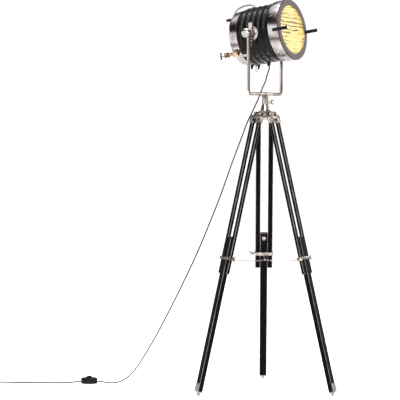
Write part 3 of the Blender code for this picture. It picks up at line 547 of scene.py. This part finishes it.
def build_switch():
    """Oval floor switch with a domed lid, a seam and a round push button; and the plug."""
    spin = shift(*SWITCH) @ rot(TAIL_AZIMUTH, "Z")
    half_long, half_wide, sides = 0.0357, 0.0272, 64
    levels = [(0.93, 0.0004), (0.985, 0.0014), (1.0, 0.0034), (1.0, 0.0084), (0.985, 0.0089), (0.985, 0.0097),
        (1.0, 0.0102), (0.998, 0.0178), (0.975, 0.0216), (0.92, 0.024), (0.82, 0.025), (0.55, 0.0254)]
    bm = bmesh.new()
    rings = []
    sizes = [(half_long * scale, half_wide * scale, z) for scale, z in levels]
    sizes += [(0.0127, 0.0127, 0.025), (0.0122, 0.0122, 0.0235), (0.0122, 0.0122, 0.0165)]
    for half_x, half_y, z in sizes:
        rings.append([bm.verts.new((x, y, z)) for x, y in oval((0, 0), half_x, half_y, sides)])
    bridge(bm, rings, sides)
    bm.faces.new(rings[0])
    bm.faces.new(rings[-1])
    piece("floor_switch", bm, PLASTIC, "root", spin, ["foot_switch_body"], 30)
    button = rounded([(0, 0.0335), (0.006, 0.0332), (0.01, 0.0315), (0.0113, 0.0288), (0.0113, 0.0196),
        (0, 0.0196)], 0.0008)
    piece("floor_switch_button", lathe(button, 48), PLASTIC, "foot_switch_button", shift(*SWITCH),
        ["foot_switch_button"])

    plug_at = SWITCH + ALONG * (COIL_REACH + COIL_R + CORD_R) + ASIDE * (COIL_R + 0.06)
    turn = shift(*plug_at) @ rot(TAIL_AZIMUTH + 90, "Z")
    grip = rounded([(-0.022, -0.0055), (-0.008, -0.012), (0.018, -0.012), (0.018, 0.012), (-0.008, 0.012),
        (-0.022, 0.0055)], 0.004, 4, True)
    body = bevelled(slab(grip, 0.0006, 0.016, "Z"), 0.0022, 3)
    relief = [block((-0.0205 + 0.0042 * k, -0.0062, 0.003), (-0.0188 + 0.0042 * k, 0.0062, 0.0164))
        for k in range(3)]
    piece("mains_plug", merge(body, *relief), PLASTIC, "root", turn, ["plug"])
    pins = [bevelled(block((0.017, y - 0.0008, 0.0053), (0.034, y + 0.0008, 0.0115)), 0.0003, 1)
        for y in (-0.0064, 0.0064)]
    piece("plug_pins", merge(*pins), BRASS, "root", turn)


# ---- small parts

def ring_slab(outer, inner, low, high, across="Z"):
    """A flat ring: two closed outlines with the same number of points, between two levels."""
    bm = bmesh.new()
    place = ACROSS_AXIS[across]
    levels = ((outer, low), (outer, high), (inner, high), (inner, low))
    loops = [[bm.verts.new(place(*p, level)) for p in outline] for outline, level in levels]
    bridge(bm, loops + loops[:1], len(outer))
    return bm


def oval(centre, half_a, half_b, count=28):
    return [(centre[0] + half_a * cos(2 * pi * k / count), centre[1] + half_b * sin(2 * pi * k / count))
        for k in range(count)]


def loop_box(half_x, half_y, corner):
    """A rectangle with rounded corners, six points a corner."""
    out = []
    for cx, cy, start in ((1, 1, 0), (-1, 1, 90), (-1, -1, 180), (1, -1, 270)):
        out += arc((cx * (half_x - corner), cy * (half_y - corner)), corner, start, start + 90, 5)
    return out


def screw_head(radius, height, sides):
    """A domed screw head, seated at z = 0."""
    dome = rounded([(0, height), (radius * 0.55, height * 0.95), (radius * 0.9, height * 0.55),
        (radius, -0.0006), (0, -0.0006)], height * 0.4, 2)
    return lathe(dome, sides)


def slot_painted_shade(radius, height):
    """A dark bar standing a hair above the dome: painted shade for a screw's slot."""
    return block((-radius * 0.72, -radius * 0.11, height * 0.3),
        (radius * 0.72, radius * 0.11, height + 0.00006))


def wing_pair(span, height, thickness, base):
    """Two rounded ears in the X-Z plane with thick rims, as on a cast wing screw."""
    half = thickness / 2
    outline = [(-0.35 * span, base), (0.35 * span, base)]
    outline += arc((0.72 * span, base + height - 0.28 * span), 0.28 * span, -40, 130, 9)
    outline += rounded([(0.25 * span, base + 0.55 * height), (0, base + 0.32 * height),
        (-0.25 * span, base + 0.55 * height)], 0.004, 3)[1:-1]
    outline += arc((-0.72 * span, base + height - 0.28 * span), 0.28 * span, 50, 220, 9)
    return bevelled(slab(outline, -half, half, "Y"), thickness * 0.3, 2, 50)


def thumb(name, body, place, reach, span, node, twist=0):
    """A wing screw along its own +Z: hub, ears turned by twist, and a threaded shaft."""
    hub = rounded([(0, 0.0159), (0.0043, 0.0157), (0.0061, 0.01), (0.0061, 0.0012), (0, 0.0012)], 0.0012, 3)
    shaft_r, thread, top = 0.0029, 0.00035, 0.0014
    shaft = [(0, 0.0016)] + [(shaft_r - thread * (k % 2), top - (reach + top) * k / 15) for k in range(16)]
    shaft += [(0, -reach)]
    ears = moved(wing_pair(span, 0.0188, 0.0031, 0.004), rot(twist, "Z"))
    piece(name, merge(lathe(hub, 28), lathe(shaft, 20), ears), CAST_NICKEL, body, place, [node])


def chamfered_bar(name, low, high, width, body, place, node):
    """A lacquered wood bar whose chamfers are painted a little lighter than its faces: a painted highlight
    along its edges.
    """
    bm = bevelled(block(low, high), width, 1, 30)
    bm.normal_update()
    # Slanted chamfer faces get the second finish, the painted edge highlight.
    for face in bm.faces:
        if max(abs(c) for c in face.normal) < 0.96:
            face.material_index = 1
    return piece(name, bm, [WOOD, WOOD_EDGE_HIGHLIGHT], body, place, [node])


# ---- head

def build_housing():
    """Ribbed shell with its rivets, latch, catch and heels."""
    first_rib, pitch, half_rib, steps = 0.054, 0.026, 0.0082, 12
    outline = [(0.1142, 0.08), (SHELL_R, 0.08)]
    for n in range(5):
        crest = first_rib - n * pitch
        for k in range(steps + 1):
            off = half_rib - 2 * half_rib * k / steps
            swell = (0.5 + 0.5 * cos(pi * off / half_rib)) ** 0.8
            outline.append((SHELL_R + (RIB_R - SHELL_R) * swell, crest + off))
    outline += [(SHELL_R, -0.0703), (0.1142, -0.0703)]
    on_head("housing", lathe(outline, 112, FORWARD), ENAMEL, ["lamp_housing"], 50)

    # Rivets between the ribs on the belly, a small latch, and the catch under the rear seam.
    rivets = []
    for forward, low in ((0.041, 50), (0.041, 66), (0.015, 57), (0.015, 74), (-0.011, 51), (-0.011, 67),
            (-0.037, 60), (-0.037, 77)):
        for side in (-1, 1):
            aim = rot(180 - side * (90 - low), "Y")
            rivets.append(moved(screw_head(0.0021, 0.0011, 16), aim @ shift(0, -forward, SHELL_R)))
    on_head("belly_rivets", merge(*rivets), CHROME)
    aim = rot(-132, "Y")  # below the head's side
    latch = [bevelled(block((-0.006, 0.046, 0.1163), (0.006, 0.069, 0.1208)), 0.001, 2),
        bevelled(block((-0.0042, 0.05, 0.1205), (0.0042, 0.06, 0.125)), 0.0014, 2),
        moved(screw_head(0.0022, 0.0012, 16), shift(0, 0.0648, 0.1208))]
    catch_aim = rot(180, "Y")
    bow = [(0, 0.06 + 0.0052 * cos(radians(a)), 0.1395 + 0.0066 * sin(radians(a)))
        for a in range(-90, 271, 20)]
    catch = [bevelled(block((-0.009, 0.05, 0.1163), (0.009, 0.0685, 0.1205)), 0.0012, 2),
        bevelled(block((-0.0045, 0.056, 0.12), (0.0045, 0.064, 0.1345)), 0.0016, 2), sweep(bow, 0.0021, 12)]
    heel = rounded([(0.056, 0.1165), (0.056, 0.1195), (0.066, 0.137), (0.07, 0.137), (0.07, 0.1165)], 0.0015,
        3, True)
    for x in (-0.028, 0.028):
        foot = bevelled(slab(heel, x - 0.0035, x + 0.0035, "X"), 0.0007, 2, 50)
        piece(f"rear_heel_{'left' if x < 0 else 'right'}", foot, ENAMEL, "head", HEAD @ catch_aim)
    piece("side_latch", merge(*latch), CHROME, "head", HEAD @ aim)
    piece("belly_catch", merge(*catch), CHROME, "head", HEAD @ catch_aim)


def build_front():
    """Front band and rim, lens, reflector and the two rods."""
    band = rounded([(0.1247, 0.1262), (0.127, 0.1262), (0.127, 0.0812), (0.1122, 0.0812), (0.1122, 0.0838),
        (0.1247, 0.0838)], 0.0008, 2, True)
    on_head("front_band", lathe(band, 128, FORWARD), CHROME, ["front_ring"])
    rim = rounded([(0.1022, 0.1268), (0.1022, 0.131), (0.1256, 0.131), (0.127, 0.1296), (0.127, 0.1266),
        (0.104, 0.1266)], 0.0006, 2, True)
    on_head("front_rim", lathe(rim, 128, FORWARD), RIM)
    bead = [(0.1009, 0.1271), (0.1009, 0.13), (0.1013, 0.1306), (0.1019, 0.1306), (0.1021, 0.13),
        (0.1021, 0.1271)]
    on_head("rim_bead", lathe(bead, 112, FORWARD), BRASS)
    marks = []
    for side in (-1, 1):
        for forward in (0.09, 0.099):
            aim = rot(side * 64, "Y")
            marks.append(moved(screw_head(0.0023, 0.0009, 16), aim @ shift(0, -forward, 0.1268)))
    on_head("band_screws", merge(*marks), CAST_NICKEL)

    # The lens: wavy flutes across its face.
    bm = bmesh.new()
    lens_r, face, back, ripple, flute = 0.1218, 0.12605, 0.1228, 0.00055, 0.0125
    rings, count = 30, 120
    rows = []
    for r in range(rings + 1):
        radius = lens_r * r / rings
        row = []
        for k in range(count if r else 1):
            x, y = radius * cos(2 * pi * k / count), radius * sin(2 * pi * k / count)
            wave = y + 0.0022 * sin(x * 62 + y * 21) + 0.0012 * sin(x * 170 + 1.3)
            height = face + ripple * sin(2 * pi * wave / flute) * (0 if r == rings else 1)
            row.append(bm.verts.new((x, y, height)))
        rows.append(row)
    rows += [[bm.verts.new((v.co.x, v.co.y, back)) for v in rows[-1]], [bm.verts.new((0, 0, back))]]
    bridge(bm, rows, count)
    moved(bm, FORWARD)
    on_head("lens", bm, LENS, ["lens_glass"])

    low_f, high_f, four_focal, throat, steps = -0.05, 0.0775, 0.0868, 0.0235, 14
    tip = low_f - throat ** 2 / four_focal
    levels = [low_f + (high_f - low_f) * k / steps for k in range(steps + 1)]
    inner = [(sqrt(four_focal * (f - tip)), f) for f in levels]
    outer = [(r + 0.0014, f - 0.0004) for r, f in reversed(inner)]
    on_head("reflector_bowl", lathe(inner + outer, 80, FORWARD), MIRROR, ["reflector"])

    for label, side in SIDES:
        place = HEAD @ shift(side * 0.1343, 0, -0.004)
        rod = rounded([(0, 0.1786), (0.0068, 0.1786), (0.007, 0.178), (0.007, 0.109), (0.006, 0.108),
            (0, 0.108)], 0.0006, 2)
        piece(f"rod_{label}", lathe(rod, 32, FORWARD), PLASTIC, "head", place, [f"front_rod_{label}"])
        cap = rounded([(0, 0.18), (0.0058, 0.18), (0.0064, 0.1794), (0.0064, 0.1784), (0, 0.1784)], 0.0004, 2)
        piece(f"rod_cap_{label}", lathe(cap, 32, FORWARD), CHROME, "head", place)
        low, high = mirrored(side, 0.1262, 0.13)
        saddle = bevelled(block((low, -0.124, -0.0095), (high, -0.111, 0.0015)), 0.001, 2)
        on_head(f"rod_saddle_{label}", saddle, CAST_NICKEL)


def build_lamp():
    """Holder, screw cap and frosted bulb."""
    holder = rounded([(0, -0.068), (0.0138, -0.068), (0.0138, -0.0475), (0.0188, -0.0472), (0.0195, -0.06),
        (0.0195, -0.098), (0.0238, -0.104), (0.0238, -0.1122), (0, -0.1122)], 0.0012, 3)
    on_head("bulb_holder", lathe(holder, 48, FORWARD), HOLDER, ["lamp_holder"])
    cap = [(0, -0.0672), (0.01, -0.067)]
    cap += ridges(0.0131, 0.0006, -0.065, 0.0016, 14) + [(0, -0.0428)]
    on_head("bulb_cap", lathe(cap, 40, FORWARD), BRASS)
    neck = smooth([(0.0131, -0.043, 0), (0.0136, -0.038, 0), (0.016, -0.027, 0), (0.0215, -0.0105, 0),
        (0.0262, 0.0092, 0)], 4)
    globe = [(p.x, p.y) for p in neck[:-1]] + [(0.03 * cos(radians(a)), 0.024 + 0.03 * sin(radians(a)))
        for a in range(-29, 90, 8)] + [(0, 0.054)]
    on_head("bulb_glass", lathe([(0, -0.043)] + globe, 48, FORWARD), BULB, ["bulb"])


def build_rear():
    """The chrome dish with its knob and T screw, the carry handle and the cord gland."""
    cap = rounded([(0, -0.115), (0.03, -0.115), (0.032, -0.1142), (0.034, -0.115), (0.08, -0.115),
        (0.082, -0.114), (0.084, -0.115), (0.103, -0.115), (0.1095, -0.1125), (0.1135, -0.105),
        (0.1153, -0.078), (0.1153, -0.0712), (0.1127, -0.0712), (0.1105, -0.104), (0.107, -0.11),
        (0.101, -0.1125), (0, -0.1125)], 0.0016, 3)
    on_head("rear_dish", lathe(cap, 128, FORWARD), CHROME, ["rear_cap"])
    seam = [(0.1146, -0.0712), (0.1158, -0.0712), (0.1158, -0.0738), (0.1146, -0.0738)]
    on_head("rear_seam", lathe(seam, 128, FORWARD), RIM)
    screws = []
    for turn in (30, 150, 270):
        x, z = 0.092 * cos(radians(turn)), 0.092 * sin(radians(turn))
        screws.append(moved(screw_head(0.0034, 0.0012, 24), shift(x, 0.1149, z) @ BACK))
    on_head("rear_screws", merge(*screws), CAST_NICKEL)

    knob = [(0, 0.038), (0.0046, 0.0378), (0.006, 0.0362)]
    knob += ridges(0.0063, 0.0006, 0.0352, -0.0012, 14)
    knob += [(0.005, 0.0158), (0.003, 0.015), (0.003, 0.004), (0.0058, 0.0036), (0.0058, 0.0005), (0, 0.0005)]
    piece("rear_knob_turned", lathe(knob, 32, BACK), PLASTIC, "rear_knob", HEAD @ shift(-0.04, 0.115, 0.083),
        ["rear_knob"])
    lug = bevelled(block((-0.1322, 0.0803, -0.0088), (-0.112, 0.1077, 0.0088)), 0.0022, 3)
    cheeks = [bevelled(block((-0.129, 0.084, side * 0.0104 - 0.0018),
        (-0.1135, 0.1035, side * 0.0104 + 0.0018)), 0.0012, 2) for side in (-1, 1)]
    piece("t_screw_lug", merge(lug, *cheeks), BRASS, "head", HEAD @ rot(-T_SCREW_TURN, "Y"))
    down = radians(T_SCREW_TURN)
    place = HEAD @ shift(-T_SCREW_R * cos(down), 0.108, -T_SCREW_R * sin(down))
    nuts = [bevelled(lathe([(0, 0.01), (0.0084, 0.01), (0.0084, 0.0004), (0, 0.0004)], 6, BACK), 0.0008, 2)]
    grip = [(0, 0.0382), (0.0084, 0.038)]
    grip += ridges(0.0104, 0.0008, 0.037, -0.0011, 17) + [(0.0084, 0.0183), (0, 0.018)]
    nuts.append(lathe(grip, 40, BACK))
    thread = [(0, 0.056)] + ridges(0.0036, 0.0004, 0.0555, -0.001, 48) + [(0, 0.007)]
    piece("t_screw_nuts", merge(*nuts, lathe(thread, 24, BACK)), BRASS, "rear_t_screw", place,
        ["rear_t_screw"])
    bar = rounded([(0, 0.014), (0.0032, 0.014), (0.0038, 0.013), (0.0031, 0.0065), (0.0031, -0.0065),
        (0.0038, -0.013), (0.0032, -0.014), (0, -0.014)], 0.0008, 2)
    knuckle = lathe(rounded([(0, 0.0606), (0.0042, 0.0604), (0.0048, 0.057), (0.0042, 0.0535), (0, 0.053)],
        0.001, 3), 32, BACK)
    piece("t_screw_bar", merge(moved(lathe(bar, 28), shift(0, 0.057, 0)), knuckle), PLASTIC, "rear_t_screw",
        place)

    route = [(0.0365, 0.1211), (0.0365, 0.127), (0.042, 0.1325), (0.063, 0.1355), (0.09, 0.134),
        (0.115, 0.126), (0.133, 0.111), (0.139, 0.095), (0.134, 0.08), (0.124, 0.072), (0.1158, 0.07)]
    path = smooth([(0, y, z) for y, z in route], 6)
    foot = bevelled(block((-0.0089, 0.0286, 0.1195), (0.0089, 0.0444, 0.1244)), 0.0012, 2)
    bosses = [moved(screw_head(0.0024, 0.001, 16), shift(x, 0.0365, 0.1243)) for x in (-0.006, 0.006)]
    eye = moved(lathe(rounded([(0, 0.0022), (0.0062, 0.002), (0.0066, -0.0004), (0, -0.0004)], 0.0006, 2), 28,
        BACK), shift(0, 0.115, 0.07))
    on_head("handle", merge(sweep(path, 0.0036, 20), foot, eye, *bosses), CHROME, ["carry_handle"])

    sleeve = [(0, 0.113), (0.0056, 0.113), (0.0056, 0.121), (0.0077, 0.1212), (0.008, 0.1235),
        (0.0073, 0.127)]
    sleeve += [(0.0066 - 0.00028 * k - 0.0007 * (k % 2), 0.1276 + 0.0008 * k)
        for k in range(8)] + [(0, 0.1335)]
    on_head("gland", lathe(sleeve, 40, DOWN), PLASTIC, ["cord_gland"])


def build_tilt_hardware():
    """Boss, wing nut and domed knob on each side of the head."""
    for label, side in SIDES:
        aim = X_AXIS if side > 0 else MINUS_X
        disc = rounded([(0, 0.1245), (0.0075, 0.1245), (0.0075, 0.1228), (0.0225, 0.1228), (0.024, 0.1218),
            (0.0262, 0.1218), (0.03, 0.1205), (0.03, 0.112), (0, 0.112)], 0.0008, 3)
        stud = [(0, 0.169)] + ridges(0.004, 0.0004, 0.1685, -0.001, 46) + [(0, 0.1235)]
        screws = [moved(screw_head(0.002, 0.0009, 14), shift(0.0195 * cos(t), 0.0195 * sin(t), 0.1226))
            for t in (radians(a) for a in (45, 135, 225, 315))]
        on_head(f"pivot_plate_{label}", merge(lathe(disc, 64, aim), lathe(stud, 28, aim),
            *[moved(s, aim) for s in screws]), CHROME, [f"tilt_boss_{label}"])

        nut_hub = bevelled(lathe([(0.0045, 0.1234), (0.0114, 0.1234), (0.0114, 0.133), (0.0045, 0.133)], 6,
            aim), 0.0007, 2)
        collar = lathe(rounded([(0.0045, 0.1322), (0.0094, 0.1322), (0.0086, 0.1374), (0.0045, 0.1374)],
            0.0008, 2, True), 36, aim)
        low, high = mirrored(side, 0.1264, 0.1297)
        outline = rounded([(-0.0084, 0.006), (-0.0062, 0.02), (-0.0088, 0.03)]
            + arc((0, 0.0382), 0.0095, 205, -25, 14) + [(0.0088, 0.03), (0.0062, 0.02), (0.0084, 0.006)],
            0.0015, 2, True)
        upper = bevelled(slab(outline, low, high, "X"), 0.001, 2, 50)
        tab = bevelled(ring_slab(oval((0, -0.0395), 0.009, 0.0168), oval((0, -0.0402), 0.0042, 0.0108), low,
            high, "X"), 0.0008, 2, 50)
        neck = bevelled(slab([(-0.008, -0.006), (-0.0062, -0.025), (0.0062, -0.025), (0.008, -0.006)], low,
            high, "X"), 0.0008, 2, 50)
        pivot = shift(*PIVOT)
        piece(f"wing_nut_{label}_cast", merge(nut_hub, collar, upper, neck, tab), NICKEL, f"wing_nut_{label}",
            pivot, [f"wing_nut_{label}"])

        knob = rounded([(0, 0.1798), (0.004, 0.1798), (0.0046, 0.179), (0.009, 0.179), (0.014, 0.1768),
            (0.0182, 0.1722), (0.019, 0.168), (0.019, 0.159), (0.0168, 0.1545), (0.0112, 0.1522),
            (0.01, 0.1484), (0.0045, 0.1484), (0.0045, 0.17), (0, 0.17)], 0.0012, 3)
        piece(f"tilt_knob_{label}_turned", lathe(knob, 64, aim), CHROME, f"tilt_knob_{label}", pivot,
            [f"tilt_knob_{label}"])


# ---- yoke and stand

def build_yoke():
    """Bent tube with flat eyes, saddle and spindle."""
    arm, bar, top, corner = 0.143, 1.246, PIVOT.z, 0.0175
    inner = arm - corner
    path = [(-arm, top - 0.0105), (-arm, top - 0.05), (-arm, (top + bar) / 2), (-arm, bar + corner + 0.004)]
    path += arc((-inner, bar + corner), corner, 180, 270, 12)
    path += [(-0.06, bar), (0, bar), (0.06, bar)]
    path += arc((inner, bar + corner), corner, 270, 360, 12)
    path += [(arm, bar + corner + 0.004), (arm, (top + bar) / 2), (arm, top - 0.05), (arm, top - 0.0105)]
    tube = sweep([(x, 0, z) for x, z in path], 0.007, 28)
    saddle = lathe(rounded([(0, 1.2555), (0.007, 1.2545), (0.0088, 1.25), (0.0094, 1.243), (0.0094, 1.2396),
        (0, 1.2396)], 0.002, 4), 40)
    spindle = lathe([(0, 1.25), (0.008, 1.25), (0.008, 1.2068), (0, 1.2068)], 40)
    eyes = []
    for side in (-1, 1):
        low, high = mirrored(side, arm - 0.0042, arm + 0.0042)
        hole = oval((0, top), 0.0045, 0.0045, 40)
        eyes.append(bevelled(ring_slab(oval((0, top), 0.0135, 0.0135, 40), hole, low, high, "X"), 0.0012, 2,
            50))
    piece("yoke_tube", merge(tube, saddle, spindle, *eyes), NICKEL, "yoke", STAND, ["yoke"], 40)


def leg_frame(index):
    turn = radians(LEG_AZIMUTHS[index])
    hinge = POST + Vector((HINGE_R * cos(turn), HINGE_R * sin(turn), HINGE_Z))
    return shift(*hinge) @ Matrix.Rotation(turn, 4, "Z") @ Matrix.Rotation(-LEG_TILT, 4, "Y")


def build_tripod_head():
    """Socket and cone with a tongue for each leg, and the pan screw."""
    socket = rounded([(0, 1.205), (0.0085, 1.205), (0.0085, 1.2384), (0.0127, 1.2384), (0.0135, 1.2374),
        (0.0135, 1.229), (0.0127, 1.228), (0.0127, 1.204), (0.0135, 1.203), (0.014, 1.199), (0.0168, 1.1905),
        (0.0196, 1.1775), (0.0255, 1.1752), (0.0262, 1.174), (0.0262, 1.156), (0.0245, 1.155), (0, 1.155)],
        0.0014, 3)
    parts = [lathe(socket, 64)]
    for azimuth in LEG_AZIMUTHS:
        outline = [(0.012, -0.0082), (HINGE_R, -0.0082)] + arc((HINGE_R, 0), 0.0081, -60, 90,
            10) + [(0.012, 0.0082)]
        tongue = bevelled(slab(outline, -0.008, 0.008, "Y"), 0.0008, 2, 50)
        parts.append(moved(tongue, shift(0, 0, HINGE_Z) @ rot(azimuth, "Z")))
    boss_turn = rot(PAN_SCREW_AZIMUTH, "Z")
    boss = lathe(rounded([(0, 0.0139), (0.0056, 0.0137), (0.006, 0.011), (0, 0.011)], 0.0008, 2), 32, X_AXIS)
    parts.append(moved(boss, shift(0, 0, PAN_SCREW_Z) @ boss_turn))
    piece("tripod_casting", merge(*parts), CAST_NICKEL, "root", STAND, ["tripod_head"])
    place = STAND @ shift(0, 0, PAN_SCREW_Z) @ boss_turn @ shift(0.0142, 0, 0) @ X_AXIS
    thumb("pan_thumb_screw", "pan_screw", place, 0.005, 0.012, "pan_screw")


def build_leg(index):
    """One leg: hinge bolt, cap, rails, clamp, lower leg, stop screw and foot."""
    leg, lower = f"leg_{index}", f"lower_leg_{index}"
    place = leg_frame(index)
    inner, outer, half = RAIL_INNER, RAIL_OUTER, RAIL_HALF
    turn = rot(LEG_AZIMUTHS[index], "Z")
    hinge = shift(*place.to_translation()) @ turn
    heads = []
    for side in (-1, 1):
        low, high = mirrored(side, 0.0187, 0.0224)
        head = bevelled(lathe([(0, high), (0.0062, high), (0.0062, low), (0, low)], 6, BACK), 0.0006, 2)
        heads.append(head)
    shaft = lathe([(0, 0.019), (0.003, 0.019), (0.003, -0.019), (0, -0.019)], 20, BACK)
    piece(f"hinge_bolt_{index}_hex", merge(*heads, shaft), CHROME, "root", hinge, [f"hinge_bolt_{index}"])

    dome = [(-0.0387, -0.0236), (0.0387, -0.0236)] + arc((0.0297, -0.0159), 0.009, 0, 90, 10)
    dome += [(0.0174, -0.0069), (0.0174, -0.0106), (-0.0174, -0.0106), (-0.0174, -0.0069)]
    dome += arc((-0.0297, -0.0159), 0.009, 90, 180, 10)
    parts = [bevelled(slab(dome, -0.0097, 0.0097, "X"), 0.0022, 3, 50)]
    for side in (-1, 1):
        low, high = mirrored(side, 0.0147, 0.0387)
        parts.append(bevelled(block((-0.0097, low, -0.0399), (0.0097, high, -0.02)), 0.0016, 3))
        low, high = mirrored(side, 0.0087, 0.0181)
        ear = [(-0.0085, -0.015), (0.0085, -0.015)] + arc((0, 0), 0.0091, 0, 180, 14)
        parts.append(bevelled(slab(ear, low, high, "Y"), 0.001, 2, 50))
        for face in (-1, 1):
            aim = X_AXIS if face > 0 else MINUS_X
            parts.append(moved(moved(screw_head(0.0026, 0.0011, 16), aim),
                shift(face * 0.0096, side * 0.0265, -0.032)))
    piece(f"leg_cap_{index}", merge(*parts), CAST_NICKEL, leg, place, [f"top_fitting_{index}"])
    for label, side in SIDES:
        low, high = mirrored(side, inner, outer)
        chamfered_bar(f"rail_{label}_{index}_wood", (-half, low, -0.6839), (half, high, -0.0248), 0.0022, leg,
            place, f"rail_{label}_{index}")

    # Clamp band with its boss and the eye the chain hooks into.
    band_in, wall = 0.011, 0.0021
    middle = -CLAMP_AT
    loop = ring_slab(loop_box(band_in + wall, outer + wall, 0.0026),
        loop_box(band_in + 0.0003, outer + 0.0003, 0.0008), middle - 0.0069, middle + 0.0069)
    boss = moved(lathe(rounded([(0, 0.0066), (0.0062, 0.0066), (0.0065, 0.0058), (0.0065, 0), (0, 0)], 0.0006,
        2), 36, BACK), shift(0, outer + 0.0002, middle))
    lug = bevelled(block((-band_in - 0.0055, -0.0012, middle - 0.0035),
        (-band_in - 0.0005, 0.0012, middle + 0.0035)), 0.0004, 1)
    hook = [(-band_in - 0.0066 + 0.0026 * cos(radians(a)), 0, middle + 0.0026 * sin(radians(a)))
        for a in range(0, 361, 20)]
    piece(f"clamp_{index}_band", merge(bevelled(loop, 0.0005, 2, 50), boss, lug, sweep(hook, 0.0009, 10)),
        CAST_NICKEL, leg, place, [f"clamp_band_{index}"])
    thumb(f"clamp_{index}_thumb_screw", f"clamp_screw_{index}",
        place @ shift(0, outer + 0.0072, middle) @ BACK, 0.0068, 0.011, f"clamp_screw_{index}", 90)

    chamfered_bar(f"lower_leg_{index}_wood", (-LOWER_HALF, -0.0156, -1.1815), (LOWER_HALF, 0.0156, -0.5263),
        0.0018, lower, place, f"lower_leg_{index}")
    aim = shift(-LOWER_HALF, 0, -STOP_AT) @ MINUS_X
    washer = lathe(rounded([(0, 0.0012), (0.0084, 0.001), (0.0085, 0.0003), (0, 0.0003)], 0.0003, 2), 40)
    piece(f"stop_screw_{index}_head", merge(washer, moved(screw_head(0.0062, 0.0034, 32),
        shift(0, 0, 0.0011))), CHROME, lower, place @ aim, [f"stop_screw_{index}"])
    # A dark bar over the screw head: painted shade for its slot.
    piece(f"stop_screw_{index}_painted_slot_shade", slot_painted_shade(0.0046, 0.0045), PLASTIC, lower,
        place @ aim @ rot(35 * index + 20, "Z"))

    # Foot: an L of steel up the outer face, two screws and the upright ground stud.
    end, deep = 1.1818, LOWER_HALF
    outline = rounded([(-deep + 0.001, -end), (-deep + 0.001, -end - 0.004), (deep + 0.0027, -end - 0.004),
        (deep + 0.0027, -1.1475), (deep + 0.0003, -1.1475), (deep + 0.0003, -end)], 0.0007, 2, True)
    plate = bevelled(slab(outline, -0.0144, 0.0144, "Y"), 0.0004, 1, 50)
    screws = [moved(screw_head(0.003, 0.0013, 20), shift(deep + 0.0026, 0, -z) @ X_AXIS)
        for z in (1.156, 1.1705)]
    low = end + 0.002
    drop = HINGE_Z - low * cos(LEG_TILT)
    upright = shift(0, 0, -low) @ Matrix.Rotation(LEG_TILT, 4, "Y") @ shift(0, 0, -drop)
    stud = rounded([(0, drop), (0.0064, drop), (0.0064, 0.0055), (0.0057, 0.0025), (0.0042, 0.0001),
        (0, 0.0001)], 0.0008, 2)
    piece(f"foot_{index}_shoe", merge(plate, *screws, moved(lathe(stud, 32), upright)), ZINC, lower, place,
        [f"foot_{index}"])


def build_chains():
    """Small oval links from each clamp's eye to the ring on the tripod's axis."""
    ring_z, hub, wire = 0.549, 0.0085, 0.0012
    circle = [(hub * cos(radians(a)), hub * sin(radians(a)), ring_z) for a in range(0, 361, 12)]
    piece("chain_hub", sweep(circle, wire, 10), CHROME, "root", STAND, ["chain_ring"])
    eye_in = 0.0235  # from the leg's middle to the clamp's eye
    eye_r = HINGE_R + CLAMP_AT * sin(LEG_TILT) - eye_in * cos(LEG_TILT)
    eye_z = HINGE_Z - CLAMP_AT * cos(LEG_TILT) - eye_in * sin(LEG_TILT)
    start_r = hub + wire + GAP
    pitch, half_long, half_wide, link_r = 0.0058, 0.004, 0.0021, 0.0007
    for index, azimuth in enumerate(LEG_AZIMUTHS):
        run = smooth([(start_r + (eye_r - start_r) * s, 0, ring_z + (eye_z - ring_z) * s - 0.02 * s * (1 - s))
            for s in (k / 8 for k in range(9))], 10)
        far = [0]
        for a, b in zip(run, run[1:]):
            far.append(far[-1] + (b - a).length)
        count = int((far[-1] - 2 * half_long) / pitch) + 1
        first = (far[-1] - pitch * (count - 1)) / 2
        links = []
        for n in range(count):
            want = first + pitch * n
            k = max(j for j in range(len(far) - 1) if far[j] <= want)
            ahead = (run[k + 1] - run[k]).normalized()
            here = run[k] + ahead * (want - far[k])
            across = Vector((0, 1, 0)) if n % 2 else ahead.cross(Vector((0, 1, 0)))
            loop = [here + ahead * (half_long - half_wide) * (1 if cos(t) >= 0 else -1)
                + ahead * half_wide * cos(t) + across * half_wide * sin(t)
                for t in (2 * pi * j / 16 for j in range(17))]
            links.append(sweep(loop, link_r, 6))
        made = piece(f"chain_{index}_links", merge(*links), CHROME, None, STAND @ rot(azimuth, "Z"),
            [f"chain_{index}"])
        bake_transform(made)


build_studio()
build_housing()
build_front()
build_lamp()
build_rear()
build_tilt_hardware()
build_yoke()
build_tripod_head()
for leg_index in range(3):
    build_leg(leg_index)
build_chains()
build_switch()
build_cord()
